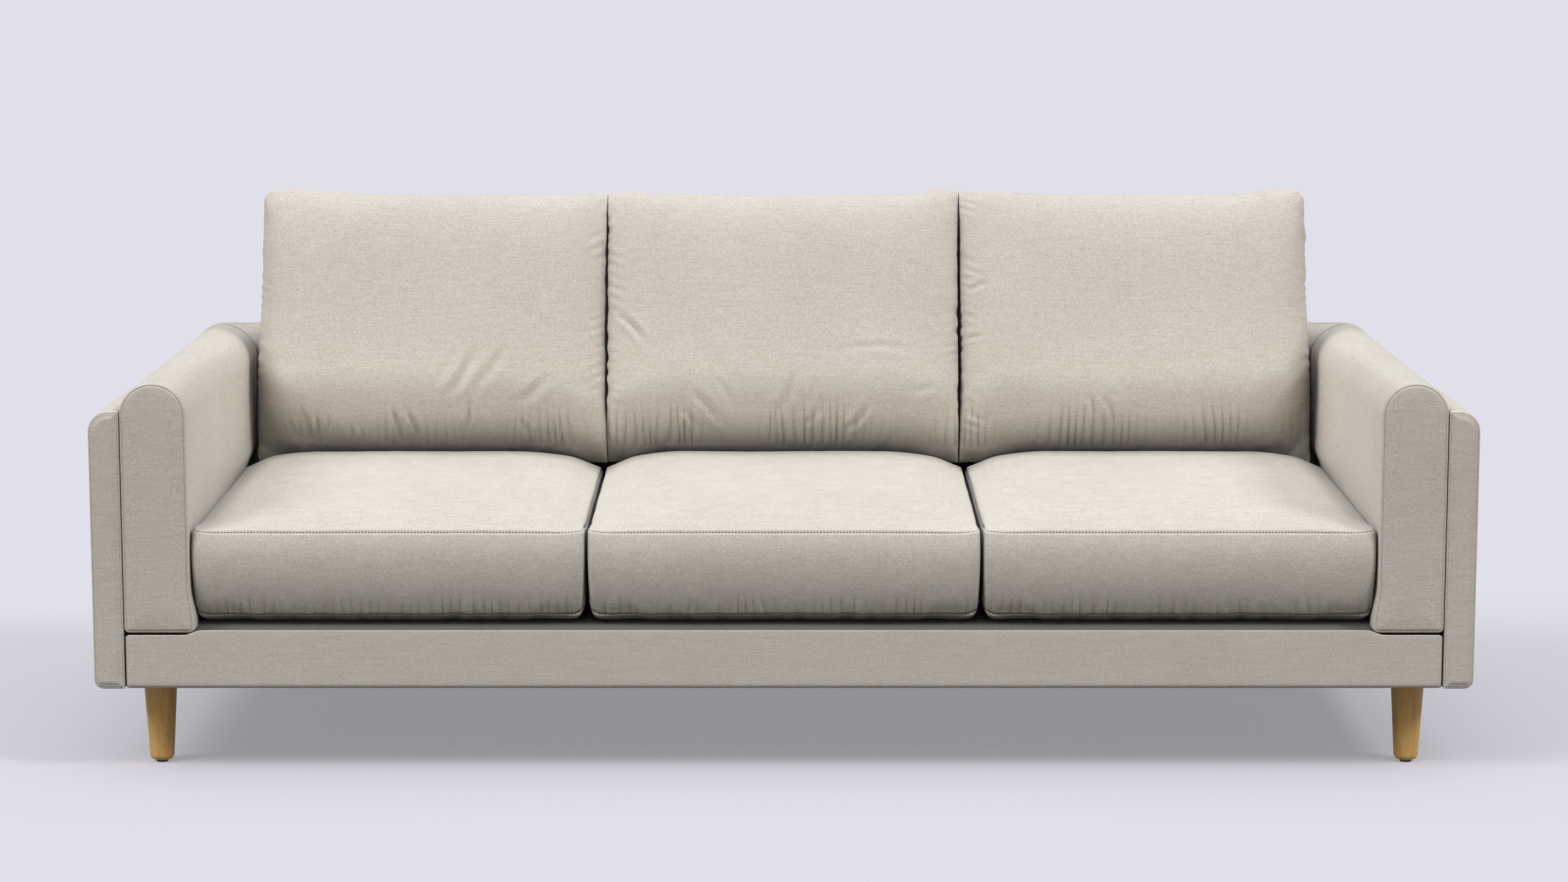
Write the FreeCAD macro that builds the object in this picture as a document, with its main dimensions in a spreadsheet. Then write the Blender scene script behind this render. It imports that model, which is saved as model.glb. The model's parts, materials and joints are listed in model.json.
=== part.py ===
"""Three-seat sofa with turned wooden legs, as a parametric FreeCAD document in millimetres.

The origin lies on the floor below the middle of the sofa. X runs along the width, Y from the
front to the rear and Z up. Left is the -X side.
"""
import FreeCAD, Part
import math
import os
import re
import Sketcher
from FreeCAD import Vector

doc = FreeCAD.newDocument("Sofa")

# Driving dimensions, each with the words that say what it measures.
SIZES = [
    ("overall_width", 2240, "across the outer faces of the arm slabs"),
    ("overall_depth", 900, "from the front of the base to the rear panel"),
    ("overall_height", 895, "floor to the top of the back cushions"),
    ("leg_height", 140, "floor to the underside of the base"),
    ("plinth_height", 92, "covered base, bottom to top"),
    ("deck_thick", 10, "padded deck under the seat cushions"),
    ("deck_inset", 20, "deck edge behind the front of the base"),
    ("cover_thick", 2, "upholstery cover on arms and back"),
    ("cushion_cover_thick", 3, "cushion cover with its fibre wrap"),
    ("seam_clear", 0.3, "clearance between soft pieces"),
    ("slab_thick", 50, "outer arm slab, side to side"),
    ("slab_height", 455, "outer arm slab, bottom to top"),
    ("slab_edge", 20, "rounded outer top edge of the slab"),
    ("slab_foot", 12, "rounded outer bottom edge of the slab"),
    ("board_thick", 18, "plywood board inside the slab"),
    ("arm_width", 108, "inner arm pad, side to side"),
    ("arm_height", 409, "inner arm pad above the base"),
    ("arm_panel_drop", 54, "top of the arm pad down to the plywood panel"),
    ("panel_thick", 25, "plywood side panel"),
    ("panel_front_foam", 10, "foam in front of the side panel"),
    ("panel_gap", 8, "side panel to the back module"),
    ("rail_thick", 30, "base rails"),
    ("rail_drop", 6, "top of the rails below the top of the base"),
    ("front_pad", 8, "padded cover on the front and rear rails"),
    ("top_wrap", 16, "reach of that cover over the top of the rail"),
    ("hem_thick", 2, "hem and dust cover under the base"),
    ("hem_reach", 30, "reach of the hem under the rail"),
    ("cross_rail_height", 58, "rails under the seat, bottom to top"),
    ("spring_rail_height", 76, "rail that holds the rear ends of the springs"),
    ("spring_rail_lead", 12, "spring rail in front of the foot of the back"),
    ("back_depth", 213, "depth of the back module at its foot"),
    ("back_height", 409, "back module above the base"),
    ("recline", 10, "front face of the back module from the vertical, degrees"),
    ("dome_radius", 62, "rounded top edges of the back module"),
    ("foam_thick", 45, "foam on the front of the back"),
    ("window_border", 12, "rim of the rear opening in the back cover"),
    ("upright_thick", 18, "plywood uprights in the back"),
    ("upright_inset", 63, "side panel to the middle of an outer upright"),
    ("tongue_depth", 110, "foot of an upright, front to rear"),
    ("tongue_height", 46, "foot of an upright, below the top of the base"),
    ("back_rail_thick", 30, "rails in the back"),
    ("back_rail_gap", 3, "end of a rail in the back to the side panel's plane"),
    ("back_rail_height", 60, "bottom rail in the back"),
    ("strap_width", 50, "elastic webbing"),
    ("strap_thick", 2, "elastic webbing"),
    ("strap_clear", 1, "webbing to the uprights"),
    ("strap_overlap", 44, "webbing fixed over the bottom rail"),
    ("block_width", 80, "corner blocks along the width"),
    ("block_depth", 90, "corner blocks along the depth"),
    ("block_height", 40, "corner blocks, bottom to top"),
    ("leg_top", 55, "diameter of a leg where it meets the base"),
    ("leg_foot", 40, "diameter of a leg above its rounded end"),
    ("leg_round", 10, "rounded end of a leg"),
    ("leg_side_inset", 93, "outer face of the sofa to the axis of a leg"),
    ("leg_front_inset", 90, "front or rear of the sofa to the axis of a leg"),
    ("glide_thick", 3, "felt glide under a leg"),
    ("glide_width", 19, "diameter of a glide"),
    ("bolt_size", 8, "diameter of the leg and arm bolts"),
    ("bolt_clear", 0.2, "radial clearance of a bolt in its hole"),
    ("bolt_in_leg", 44, "length of a leg bolt inside the leg"),
    ("head_size", 14, "diameter of the head of an arm bolt"),
    ("head_thick", 5, "thickness of the head of an arm bolt"),
    ("flange_size", 20, "flange of a tee nut"),
    ("flange_thick", 1.6, "flange of a tee nut"),
    ("barrel_size", 10.4, "barrel of a tee nut"),
    ("barrel_length", 14, "barrel of a tee nut"),
    ("arm_bolt_inset", 112, "inner face of a base rail to an outer arm bolt"),
    ("arm_bolt_rise", 60, "underside of the base to the arm bolts"),
    ("back_bolt_size", 6, "diameter of the bolts that hold the back"),
    ("back_bolt_head", 12, "diameter of their heads"),
    ("back_bolt_sink", 4, "thickness of their heads, sunk into the rail"),
    ("back_bolt_grip", 50, "length of a back bolt inside the upright"),
    ("back_bolt_drop", 20, "top of the rail down to a back bolt"),
    ("wire_size", 3.5, "diameter of the spring wire"),
    ("loop_width", 34, "straight part of a spring's bar"),
    ("clip_width", 24, "spring clips along the width"),
    ("clip_depth", 14, "spring clips along the depth"),
    ("clip_inset", 10, "clip axis behind the cover's edge or the rail's face"),
    ("clip_grip", 0.2, "radial clearance of the wire in a clip"),
    ("spring_clear", 0.9, "top of the springs below the deck"),
    ("cushion_gap", 3, "between two seat cushions"),
    ("seat_front_gap", 5, "seat cushion behind the front of the base"),
    ("seat_rear_gap", 2, "seat cushion to the foot of the back"),
    ("seat_edge_height", 155, "front face of a seat cushion"),
    ("seat_rear_height", 184, "rear face of a seat cushion"),
    ("seat_crown_radius", 3900, "curve of the top of a seat cushion"),
    ("seat_round", 18, "rounded lower edges of a seat cushion"),
    ("back_side_gap", 15, "outer back cushion to the arm pad"),
    ("back_cushion_gap", 2, "between two back cushions"),
    ("back_cushion_thick", 150, "back cushion, front to rear"),
    ("cushion_lean", 16, "back cushion from the vertical, degrees"),
    ("cushion_round", 45, "rounded top edges of a back cushion"),
    ("cushion_toe", 24, "rounded lower edges of a back cushion"),
    ("overshoot", 1, "reach of a cutting shape past the piece that it cuts"),
]
SEATS = 3
SPRINGS = 12
SPRING_BARS = 18
STRAPS = 8

# Places that follow from the driving dimensions.
PLACES = [
    ("half", "overall_width / 2"),
    ("rear", "overall_depth / 2"),
    ("base_bottom", "leg_height"),
    ("base_top", "base_bottom + plinth_height"),
    ("deck_top", "base_top + deck_thick"),
    ("slab_inner", "half - slab_thick"),
    ("slab_top", "base_bottom + slab_height"),
    ("board_inset", "(slab_thick - board_thick) / 2"),
    ("arm_inner", "slab_inner - arm_width"),
    ("arm_top", "base_top + arm_height"),
    ("frame_half", "slab_inner - cover_thick"),
    ("panel_inner", "frame_half - panel_thick"),
    ("panel_top", "arm_top - arm_panel_drop"),
    ("frame_bottom", "base_bottom + hem_thick"),
    ("rail_top", "base_top - rail_drop"),
    ("rail_outer", "rear - front_pad"),
    ("rail_inner", "rail_outer - rail_thick"),
    ("arm_bolt_spread", "rail_inner - arm_bolt_inset"),
    ("block_top", "frame_bottom + block_height"),
    ("back_foot", "rear - back_depth"),
    ("back_top", "base_top + back_height"),
    ("arc_up", "back_top - dome_radius"),
    ("spring_rail_front", "back_foot - spring_rail_lead"),
    ("foam_back", "cover_thick + foam_thick"),
    ("frame_layer", "foam_back + strap_thick + strap_clear"),
    ("top_rail_top", "arc_up - seam_clear"),
    ("top_rail_bottom", "top_rail_top - back_rail_thick"),
    ("bottom_rail_top", "base_top + back_rail_height"),
    ("arc_deep", "back_foot + (arc_up - base_top) * tan(recline) + dome_radius / cos(recline)"),
    ("window_top", "arc_up - window_border"),
    ("touch_radius", "dome_radius + seam_clear"),
    ("touch_deep", "arc_deep - touch_radius * cos(cushion_lean)"),
    ("touch_up", "arc_up + touch_radius * sin(cushion_lean)"),
    ("seat_front", "-rear + seat_front_gap"),
    ("seat_rear", "back_foot - seat_rear_gap"),
    ("seat_bottom", "deck_top + seam_clear"),
    ("seat_pitch", f"2 * arm_inner / {SEATS}"),
    ("seat_width", "seat_pitch - cushion_gap"),
    ("upright_spread", "panel_inner - upright_inset"),
    ("back_rail_reach", "panel_inner - back_rail_gap"),
    ("seat_run", "seat_rear - seat_front"),
    ("seat_rise", "seat_rear_height - seat_edge_height"),
    ("seat_chord", "sqrt(seat_run * seat_run + seat_rise * seat_rise)"),
    ("crown_depth", "sqrt(seat_crown_radius * seat_crown_radius - seat_chord * seat_chord / 4)"),
    ("crown_centre", "seat_bottom + (seat_edge_height + seat_rear_height) / 2 "
                     "- crown_depth * seat_run / seat_chord"),
    ("seat_crown", "crown_centre + seat_crown_radius"),
    ("back_pitch", f"2 * (arm_inner - back_side_gap) / {SEATS}"),
    ("back_width", "back_pitch - back_cushion_gap"),
    ("cushion_bottom", "seat_crown + seam_clear"),
    ("round_rise", "cushion_round * (cos(cushion_lean) + sin(cushion_lean) - 1)"),
    ("cushion_peak", "overall_height + round_rise"),
    ("leg_side", "half - leg_side_inset"),
    ("leg_deep", "rear - leg_front_inset"),
    ("bolt_hole", "bolt_size / 2 + bolt_clear"),
    ("barrel_hole", "barrel_size / 2 + bolt_clear"),
    ("arm_bolt_up", "base_bottom + arm_bolt_rise"),
    ("back_bolt_hole", "back_bolt_size / 2 + bolt_clear"),
    ("back_bolt_up", "rail_top - back_bolt_drop"),
    ("clip_front", "-rear + top_wrap + clip_inset"),
    ("clip_rear", "spring_rail_front + clip_inset"),
    ("wire_up", "base_top - spring_clear - wire_size / 2"),
]
OWNER = {row[0]: "Sizes" for row in SIZES}
OWNER.update({row[0]: "Places" for row in PLACES})


def full(expression, home=""):
    """Put the sheet's name before each named cell, except before those of the home sheet."""
    def owned(word):
        owner = OWNER.get(word[0], home)
        return word[0] if owner == home else f"{owner}.{word[0]}"
    return re.sub(r"[a-z_]+", owned, expression)


def fill_sheet(name, rows):
    """Make a sheet with one named cell for each row."""
    sheet = doc.addObject("Spreadsheet::Sheet", name)
    for number_of_row, row in enumerate(rows, start=1):
        sheet.set(f"A{number_of_row}", row[0])
        sheet.set(f"B{number_of_row}", row[1])
        sheet.setAlias(f"B{number_of_row}", row[0])
        sheet.set(f"C{number_of_row}", row[2])
    return sheet


sizes = fill_sheet("Sizes", [(name, str(size), words) for name, size, words in SIZES])
places = fill_sheet("Places", [(name, "=" + full(rule, "Places"), "worked out") for name, rule in PLACES])
doc.recompute()


def number(expression):
    """The present value of an expression."""
    return float(places.evalExpression(full(expression)))


def bind(item, field, expression):
    """Tie one property of an object to the sheets."""
    item.setExpression(field, full(expression))


def place(item, spot):
    """Tie an object's position to the sheets."""
    for axis, expression in zip("xyz", spot):
        bind(item, f"Placement.Base.{axis}", expression)


# ---------------------------------------------------------------- making pieces
parts = []


def keep(item):
    """Hand a finished piece in under its own label."""
    parts.append(item)
    return item


def box(name, low, high):
    """A block between two opposite corners."""
    block = doc.addObject("Part::Box", name)
    for field, start, end in zip(("Length", "Width", "Height"), low, high):
        bind(block, field, f"({end}) - ({start})")
    place(block, low)
    return block


TURNS = {
    "x": FreeCAD.Rotation(Vector(0, 1, 0), 90),
    "y": FreeCAD.Rotation(Vector(1, 0, 0), -90),
    "z": FreeCAD.Rotation(),
}


def rod(name, along, spot, radius, length):
    """A cylinder that starts at a spot and runs along +X, +Y or +Z."""
    cylinder = doc.addObject("Part::Cylinder", name)
    cylinder.Placement = FreeCAD.Placement(Vector(), TURNS[along])
    bind(cylinder, "Radius", radius)
    bind(cylinder, "Height", length)
    place(cylinder, spot)
    return cylinder


def fuse(name, members):
    """One solid, or one tool, made of several."""
    joined = doc.addObject("Part::MultiFuse", name)
    joined.Shapes = members
    return joined


def cut(name, base, tools):
    """A base less one or more tools."""
    cutter = tools[0] if len(tools) == 1 else fuse(name + "_tools", tools)
    result = doc.addObject("Part::Cut", name)
    result.Base = base
    result.Tool = cutter
    return result


def group(name, members):
    """Separate solids that share a node."""
    together = doc.addObject("Part::Compound", name)
    together.Links = members
    return together


def arc_between(start, end, centre_up):
    """The anticlockwise arc from start to end whose centre has the given height."""
    middle = (start + end) / 2
    across = end - start
    centre = Vector(middle.x - (centre_up - middle.y) * across.y / across.x, centre_up, 0)
    first = math.atan2(start.y - centre.y, start.x - centre.x)
    last = math.atan2(end.y - centre.y, end.x - centre.x)
    if last < first:
        last += 2 * math.pi
    circle = Part.Circle(centre, Vector(0, 0, 1), centre.distanceToPoint(start))
    return Part.ArcOfCircle(circle, first, last)


def outline(body, role, points, arcs):
    """A closed sketch through points given anticlockwise; arcs holds the heights of arc centres."""
    sketch = body.newObject("Sketcher::SketchObject", body.Name + "_outline")
    plane = [feature for feature in body.Origin.OriginFeatures if feature.Role == role][0]
    sketch.AttachmentSupport = [(plane, "")]
    sketch.MapMode = "FlatFace"
    spots = [Vector(number(across), number(up), 0) for across, up in points]
    following = spots[1:] + spots[:1]
    for edge, (start, end) in enumerate(zip(spots, following)):
        if edge in arcs:
            sketch.addGeometry(arc_between(start, end, number(arcs[edge])))
        else:
            sketch.addGeometry(Part.LineSegment(start, end))
    for edge in range(len(points)):
        sketch.addConstraint(Sketcher.Constraint("Coincident", edge, 2, (edge + 1) % len(points), 1))
    for edge, (across, up) in enumerate(points):
        for kind, expression in (("DistanceX", across), ("DistanceY", up)):
            rule = Sketcher.Constraint(kind, -1, 1, edge, 1, number(expression))
            bind(sketch, f"Constraints[{sketch.addConstraint(rule)}]", expression)
    for edge, centre_up in arcs.items():
        rule = Sketcher.Constraint("DistanceY", -1, 1, edge, 3, number(centre_up))
        bind(sketch, f"Constraints[{sketch.addConstraint(rule)}]", centre_up)
    return sketch, spots


def prism(name, role, points, low, high, arcs=None, rounds=None):
    """An outline padded from low to high along X (YZ_Plane) or Y (XZ_Plane).

    rounds holds, for the number of an outline point, the radius of the edge that it makes.
    """
    body = doc.addObject("PartDesign::Body", name)
    sketch, spots = outline(body, role, points, arcs or {})
    rounds = rounds or {}
    pad = body.newObject("PartDesign::Pad", name + "_pad")
    pad.Profile = sketch
    bind(pad, "Length", f"({high}) - ({low})")
    if role == "YZ_Plane":
        bind(body, "Placement.Base.x", low)
    else:
        bind(body, "Placement.Base.y", high)
    feature = pad
    for radius in sorted(set(rounds.values())):
        doc.recompute()
        corners = [spots[point] for point, size in rounds.items() if size == radius]
        names = [f"Edge{count}" for count, edge in enumerate(feature.Shape.Edges, start=1)
                 if any(runs_from(edge, corner, role) for corner in corners)]
        rounded = body.newObject("PartDesign::Fillet", f"{name}_round_{radius}")
        rounded.Base = (feature, names)
        bind(rounded, "Radius", radius)
        feature = rounded
    return body


def runs_from(edge, corner, role):
    """Whether an edge stands square on the outline's plane at this corner."""
    for vertex in edge.Vertexes:
        across = vertex.Y if role == "YZ_Plane" else vertex.X
        if math.hypot(across - corner.x, vertex.Z - corner.y) > 1e-4:
            return False
    return True


def revolve(name, points, arcs):
    """An outline in the XZ plane, turned about the Z axis."""
    body = doc.addObject("PartDesign::Body", name)
    sketch, _ = outline(body, "XZ_Plane", points, arcs)
    turned = body.newObject("PartDesign::Revolution", name + "_turned")
    turned.Profile = sketch
    turned.ReferenceAxis = (sketch, ["V_Axis"])
    turned.Angle = 360
    return body


SIDES = (("left", "-"), ("right", ""))
ENDS = (("front", "-"), ("back", ""))


def between(side, inner, outer):
    """The lower and upper X of a piece that lies between two distances from the middle."""
    return (f"-({outer})", f"-({inner})") if side == "left" else (inner, outer)


# ---------------------------------------------------------------- base frame
keep(box("base_front_rail",
         ("-frame_half", "-rail_outer", "frame_bottom"),
         ("frame_half", "-rail_inner", "rail_top")))


def back_bolt_places():
    """Each upright's name and the distance of its middle from the centre."""
    return (("outer_left", "-upright_spread"), ("inner_left", "-seat_pitch / 2"),
            ("inner_right", "seat_pitch / 2"), ("outer_right", "upright_spread"))


rail_blank = box("base_back_rail_blank",
                 ("-frame_half", "rail_inner", "frame_bottom"),
                 ("frame_half", "rail_outer", "rail_top"))
rail_holes = []
for label, across in back_bolt_places():
    rail_holes.append(rod(f"rail_hole_{label}", "y", (across, "rail_inner - overshoot", "back_bolt_up"),
                          "back_bolt_hole", "rail_thick + 2 * overshoot"))
    rail_holes.append(rod(f"rail_sink_{label}", "y",
                          (across, "rail_outer - back_bolt_sink", "back_bolt_up"),
                          "back_bolt_head / 2 + bolt_clear", "back_bolt_sink + overshoot"))
keep(cut("base_back_rail", rail_blank, rail_holes))

keep(box("spring_rail",
         ("-panel_inner", "spring_rail_front", "rail_top - spring_rail_height"),
         ("panel_inner", "spring_rail_front + rail_thick", "rail_top")))

for side, sign in SIDES:
    keep(box(f"cross_rail_{side}",
             (f"{sign}seat_pitch / 2 - rail_thick / 2", "-rail_inner", "frame_bottom"),
             (f"{sign}seat_pitch / 2 + rail_thick / 2", "spring_rail_front",
              "frame_bottom + cross_rail_height")))

for end, sign in ENDS:
    flip = "-" if end == "front" else ""
    wrap = [("rear", "base_bottom"), ("rear", "base_top"),
            ("rear - top_wrap", "base_top"), ("rear - top_wrap", "rail_top"),
            ("rail_outer", "rail_top"), ("rail_outer", "frame_bottom"),
            ("rail_outer - hem_reach + front_pad", "frame_bottom"),
            ("rail_outer - hem_reach + front_pad", "base_bottom")]
    if end == "front":
        wrap = [(f"-({deep})", up) for deep, up in reversed(wrap)]
    keep(prism(f"plinth_cover_{end}", "YZ_Plane", wrap, "-frame_half", "frame_half"))


def tee_nut(name, along, spot, flange_start, barrel_start):
    """A tee nut: a flange and a barrel on one axis, bored for the bolt."""
    axis = "xyz".index(along)

    def shifted(start):
        return tuple(start if count == axis else value for count, value in enumerate(spot))

    flange = rod(name + "_flange", along, shifted(flange_start), "flange_size / 2", "flange_thick")
    barrel = rod(name + "_barrel", along, shifted(barrel_start), "barrel_size / 2", "barrel_length")
    bore = rod(name + "_bore", along, shifted(f"{barrel_start} - flange_size"), "bolt_hole",
               "barrel_length + 2 * flange_size")
    return cut(name, fuse(name + "_body", [flange, barrel]), [bore])


# ---------------------------------------------------------------- legs and corner blocks
blocks = []
leg_nuts = []
leg_bolts = []
glides = []
dust_holes = []
for end, deep in ENDS:
    for side, across in SIDES:
        corner = f"{end}_{side}"
        x_axis = f"{across}leg_side"
        y_axis = f"{deep}leg_deep"
        x_low, x_high = between(side, "panel_inner - block_width", "panel_inner")
        y_low = "-rail_inner" if end == "front" else "rail_inner - block_depth"
        blank = box(f"block_blank_{corner}", (x_low, y_low, "frame_bottom"),
                    (x_high, f"{y_low} + block_depth", "block_top"))
        hole = rod(f"block_hole_{corner}", "z", (x_axis, y_axis, "frame_bottom - overshoot"),
                   "barrel_hole", "block_height + 2 * overshoot")
        blocks.append(cut(f"block_{corner}", blank, [hole]))
        leg_nuts.append(tee_nut(f"leg_nut_{corner}", "z", (x_axis, y_axis, ""),
                                "block_top", "block_top - barrel_length"))
        leg_bolts.append(rod(f"leg_bolt_{corner}", "z", (x_axis, y_axis, "base_bottom - bolt_in_leg"),
                             "bolt_size / 2", "bolt_in_leg + hem_thick + block_height + flange_thick"))
        dust_holes.append(rod(f"dust_hole_{corner}", "z", (x_axis, y_axis, "base_bottom - overshoot"),
                              "bolt_hole", "hem_thick + 2 * overshoot"))
        leg = revolve(f"leg_{corner}",
                      [("0", "glide_thick"), ("leg_foot / 2 - leg_round", "glide_thick"),
                       ("leg_foot / 2", "glide_thick + leg_round"), ("leg_top / 2", "base_bottom"),
                       ("bolt_hole", "base_bottom"),
                       ("bolt_hole", "base_bottom - bolt_in_leg - bolt_clear"),
                       ("0", "base_bottom - bolt_in_leg - bolt_clear")],
                      arcs={1: "glide_thick + leg_round"})
        bind(leg, "Placement.Base.x", x_axis)
        bind(leg, "Placement.Base.y", y_axis)
        keep(leg)
        glides.append(rod(f"glide_{corner}", "z", (x_axis, y_axis, "0"), "glide_width / 2", "glide_thick"))
keep(group("corner_blocks", blocks))
keep(group("leg_nuts", leg_nuts))
keep(group("leg_bolts", leg_bolts))
keep(group("leg_glides", glides))

dust_reach = "rail_outer - hem_reach + front_pad - seam_clear"
dust_blank = box("dust_cover_blank", ("-frame_half", f"-({dust_reach})", "base_bottom"),
                 ("frame_half", dust_reach, "frame_bottom"))
keep(cut("dust_cover", dust_blank, dust_holes))

# ---------------------------------------------------------------- seat suspension
keep(box("seat_deck", ("-arm_inner", "-rear + deck_inset", "base_top"),
         ("arm_inner", "back_foot - seam_clear", "deck_top")))


def zigzag_wire(across):
    """A spring's centre line: bars along X joined by half circles, from clip to clip."""
    start = number("clip_front")
    pitch = (number("clip_rear") - start) / (SPRING_BARS - 1)
    reach = number("loop_width") / 2
    up = number("wire_up")
    edges = []
    for bar in range(SPRING_BARS):
        deep = start + bar * pitch
        turn = 1 if bar % 2 == 0 else -1
        near = Vector(across - turn * reach, deep, up)
        far = Vector(across + turn * reach, deep, up)
        edges.append(Part.LineSegment(near, far).toShape())
        if bar < SPRING_BARS - 1:
            bend = Vector(across + turn * (reach + pitch / 2), deep + pitch / 2, up)
            edges.append(Part.Arc(far, bend, far + Vector(0, pitch, 0)).toShape())
    return Part.Wire(edges)


springs = []
clips = []
for count in range(1, SPRINGS + 1):
    across = f"panel_inner * (2 * {count} / {SPRINGS + 1} - 1)"
    path = zigzag_wire(number(across))
    first = path.Vertexes[0].Point
    section = Part.Wire(Part.makeCircle(number("wire_size") / 2, first, Vector(1, 0, 0)))
    spring = doc.addObject("Part::Feature", f"zigzag_spring_{count}")
    spring.Shape = path.makePipeShell([section], True, False)
    springs.append(spring)
    for end in ("front", "rear"):
        label = f"spring_clip_{end}_{count}"
        block = box(label + "_block",
                    (f"{across} - clip_width / 2", f"clip_{end} - clip_depth / 2", "rail_top"),
                    (f"{across} + clip_width / 2", f"clip_{end} + clip_depth / 2", "base_top"))
        groove = rod(label + "_groove", "x", (f"{across} - clip_width", f"clip_{end}", "wire_up"),
                     "wire_size / 2 + clip_grip", "2 * clip_width")
        clips.append(cut(label, block, [groove]))
keep(group("zigzag_springs", springs))
keep(group("spring_clips", clips))


# ---------------------------------------------------------------- back module
def back_face(up, inset="0"):
    """Depth of the reclined front face at a height, moved inwards by the inset."""
    return f"back_foot + (({up}) - base_top) * tan(recline) + ({inset}) / cos(recline)"


def back_solid(name, inset, reach, floor="base_top"):
    """The back module's outline, with round top edges, moved inwards by the inset."""
    top = f"back_top - ({inset})"
    deep = f"rear - ({inset})"
    return prism(name, "YZ_Plane",
                 [(back_face(floor, inset), floor), (deep, floor),
                  (deep, top), (back_face(top, inset), top)],
                 f"-({reach})", reach,
                 rounds={2: f"dome_radius - ({inset})", 3: f"dome_radius - ({inset})"})


back_outer = back_solid("back_cover_outside", "0", "slab_inner")
back_hollow = back_solid("back_cover_hollow", "cover_thick", "frame_half", "base_top - overshoot")
back_window = box("back_cover_window",
                  ("-frame_half + window_border", "rear - 2 * cover_thick", "base_top - overshoot"),
                  ("frame_half - window_border", "rear + overshoot", "window_top"))
keep(cut("back_cover", back_outer, [back_hollow, back_window]))

keep(box("back_panel",
         ("-frame_half + window_border + seam_clear", "rear - cover_thick", "base_top"),
         ("frame_half - window_border - seam_clear", "rear", "window_top - seam_clear")))

foam_outer = back_solid("back_foam_outside", "cover_thick + seam_clear", "frame_half - seam_clear")
foam_hollow = prism("back_foam_hollow", "YZ_Plane",
                    [(back_face("base_top - overshoot", "foam_back"), "base_top - overshoot"),
                     ("rear + overshoot", "base_top - overshoot"),
                     ("rear + overshoot", "arc_up"), (back_face("arc_up", "foam_back"), "arc_up")],
                    "-slab_inner", "slab_inner")
keep(cut("back_foam", foam_outer, [foam_hollow]))

post_rear = "rear - cover_thick"
uprights = []
back_bolts = []
for label, across in back_bolt_places():
    low = f"{across} - upright_thick / 2"
    high = f"{across} + upright_thick / 2"
    rail_deep = f"{back_face('bottom_rail_top', 'frame_layer')} + back_rail_thick"
    upright = prism(f"upright_{label}_blank", "YZ_Plane",
                    [("rail_inner - tongue_depth", "base_top - tongue_height"),
                     ("rail_inner", "base_top - tongue_height"),
                     ("rail_inner", "base_top"), (post_rear, "base_top"),
                     (post_rear, "top_rail_bottom"),
                     (back_face("top_rail_bottom", "frame_layer"), "top_rail_bottom"),
                     (back_face("bottom_rail_top", "frame_layer"), "bottom_rail_top"),
                     (rail_deep, "bottom_rail_top"), (rail_deep, "base_top"),
                     ("rail_inner - tongue_depth", "base_top")],
                    low, high)
    bore = rod(f"upright_{label}_bore", "y",
               (across, "rail_inner - back_bolt_grip - bolt_clear", "back_bolt_up"),
               "back_bolt_hole", "back_bolt_grip + rail_thick")
    uprights.append(cut(f"upright_{label}", upright, [bore]))
    shank = rod(f"back_bolt_{label}_shank", "y", (across, "rail_inner - back_bolt_grip", "back_bolt_up"),
                "back_bolt_size / 2", "back_bolt_grip + rail_thick")
    head = rod(f"back_bolt_{label}_head", "y", (across, "rail_outer - back_bolt_sink", "back_bolt_up"),
               "back_bolt_head / 2", "back_bolt_sink")
    back_bolts.append(fuse(f"back_bolt_{label}", [shank, head]))
keep(group("back_uprights", uprights))
keep(group("back_bolts", back_bolts))

rail_front = back_face("bottom_rail_top", "frame_layer")
keep(box("back_bottom_rail",
         ("-back_rail_reach", rail_front, "base_top"),
         ("back_rail_reach", f"{rail_front} + back_rail_thick", "bottom_rail_top")))
keep(box("back_top_rail",
         ("-back_rail_reach", back_face("top_rail_top", "frame_layer"),
          "top_rail_bottom"),
         ("back_rail_reach", post_rear, "top_rail_top")))

straps = []
for count in range(STRAPS):
    across = f"upright_spread * (2 * {count} + 1 - {STRAPS}) / {STRAPS}"
    foot = "bottom_rail_top - strap_overlap"
    inner = "foam_back + seam_clear"
    outer = "foam_back + strap_thick"
    straps.append(prism(f"webbing_strap_{count}", "YZ_Plane",
                        [(back_face(foot, inner), foot), (back_face(foot, outer), foot),
                         (back_face("top_rail_top", outer), "top_rail_top"),
                         (back_face("top_rail_top", inner), "top_rail_top")],
                        f"{across} - strap_width / 2", f"{across} + strap_width / 2"))
keep(group("back_webbing", straps))


# ---------------------------------------------------------------- arms
def arm_solid(name, side, inset, floor, front):
    """The arm pad's round-topped outline, from its front to the middle of the back's top."""
    low, high = between(side, f"arm_inner + ({inset})", f"slab_inner - ({inset})")
    shoulder = "arm_top - arm_width / 2"
    return prism(name, "XZ_Plane", [(low, floor), (high, floor), (high, shoulder), (low, shoulder)],
                 front, "arc_deep", arcs={2: shoulder})


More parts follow.
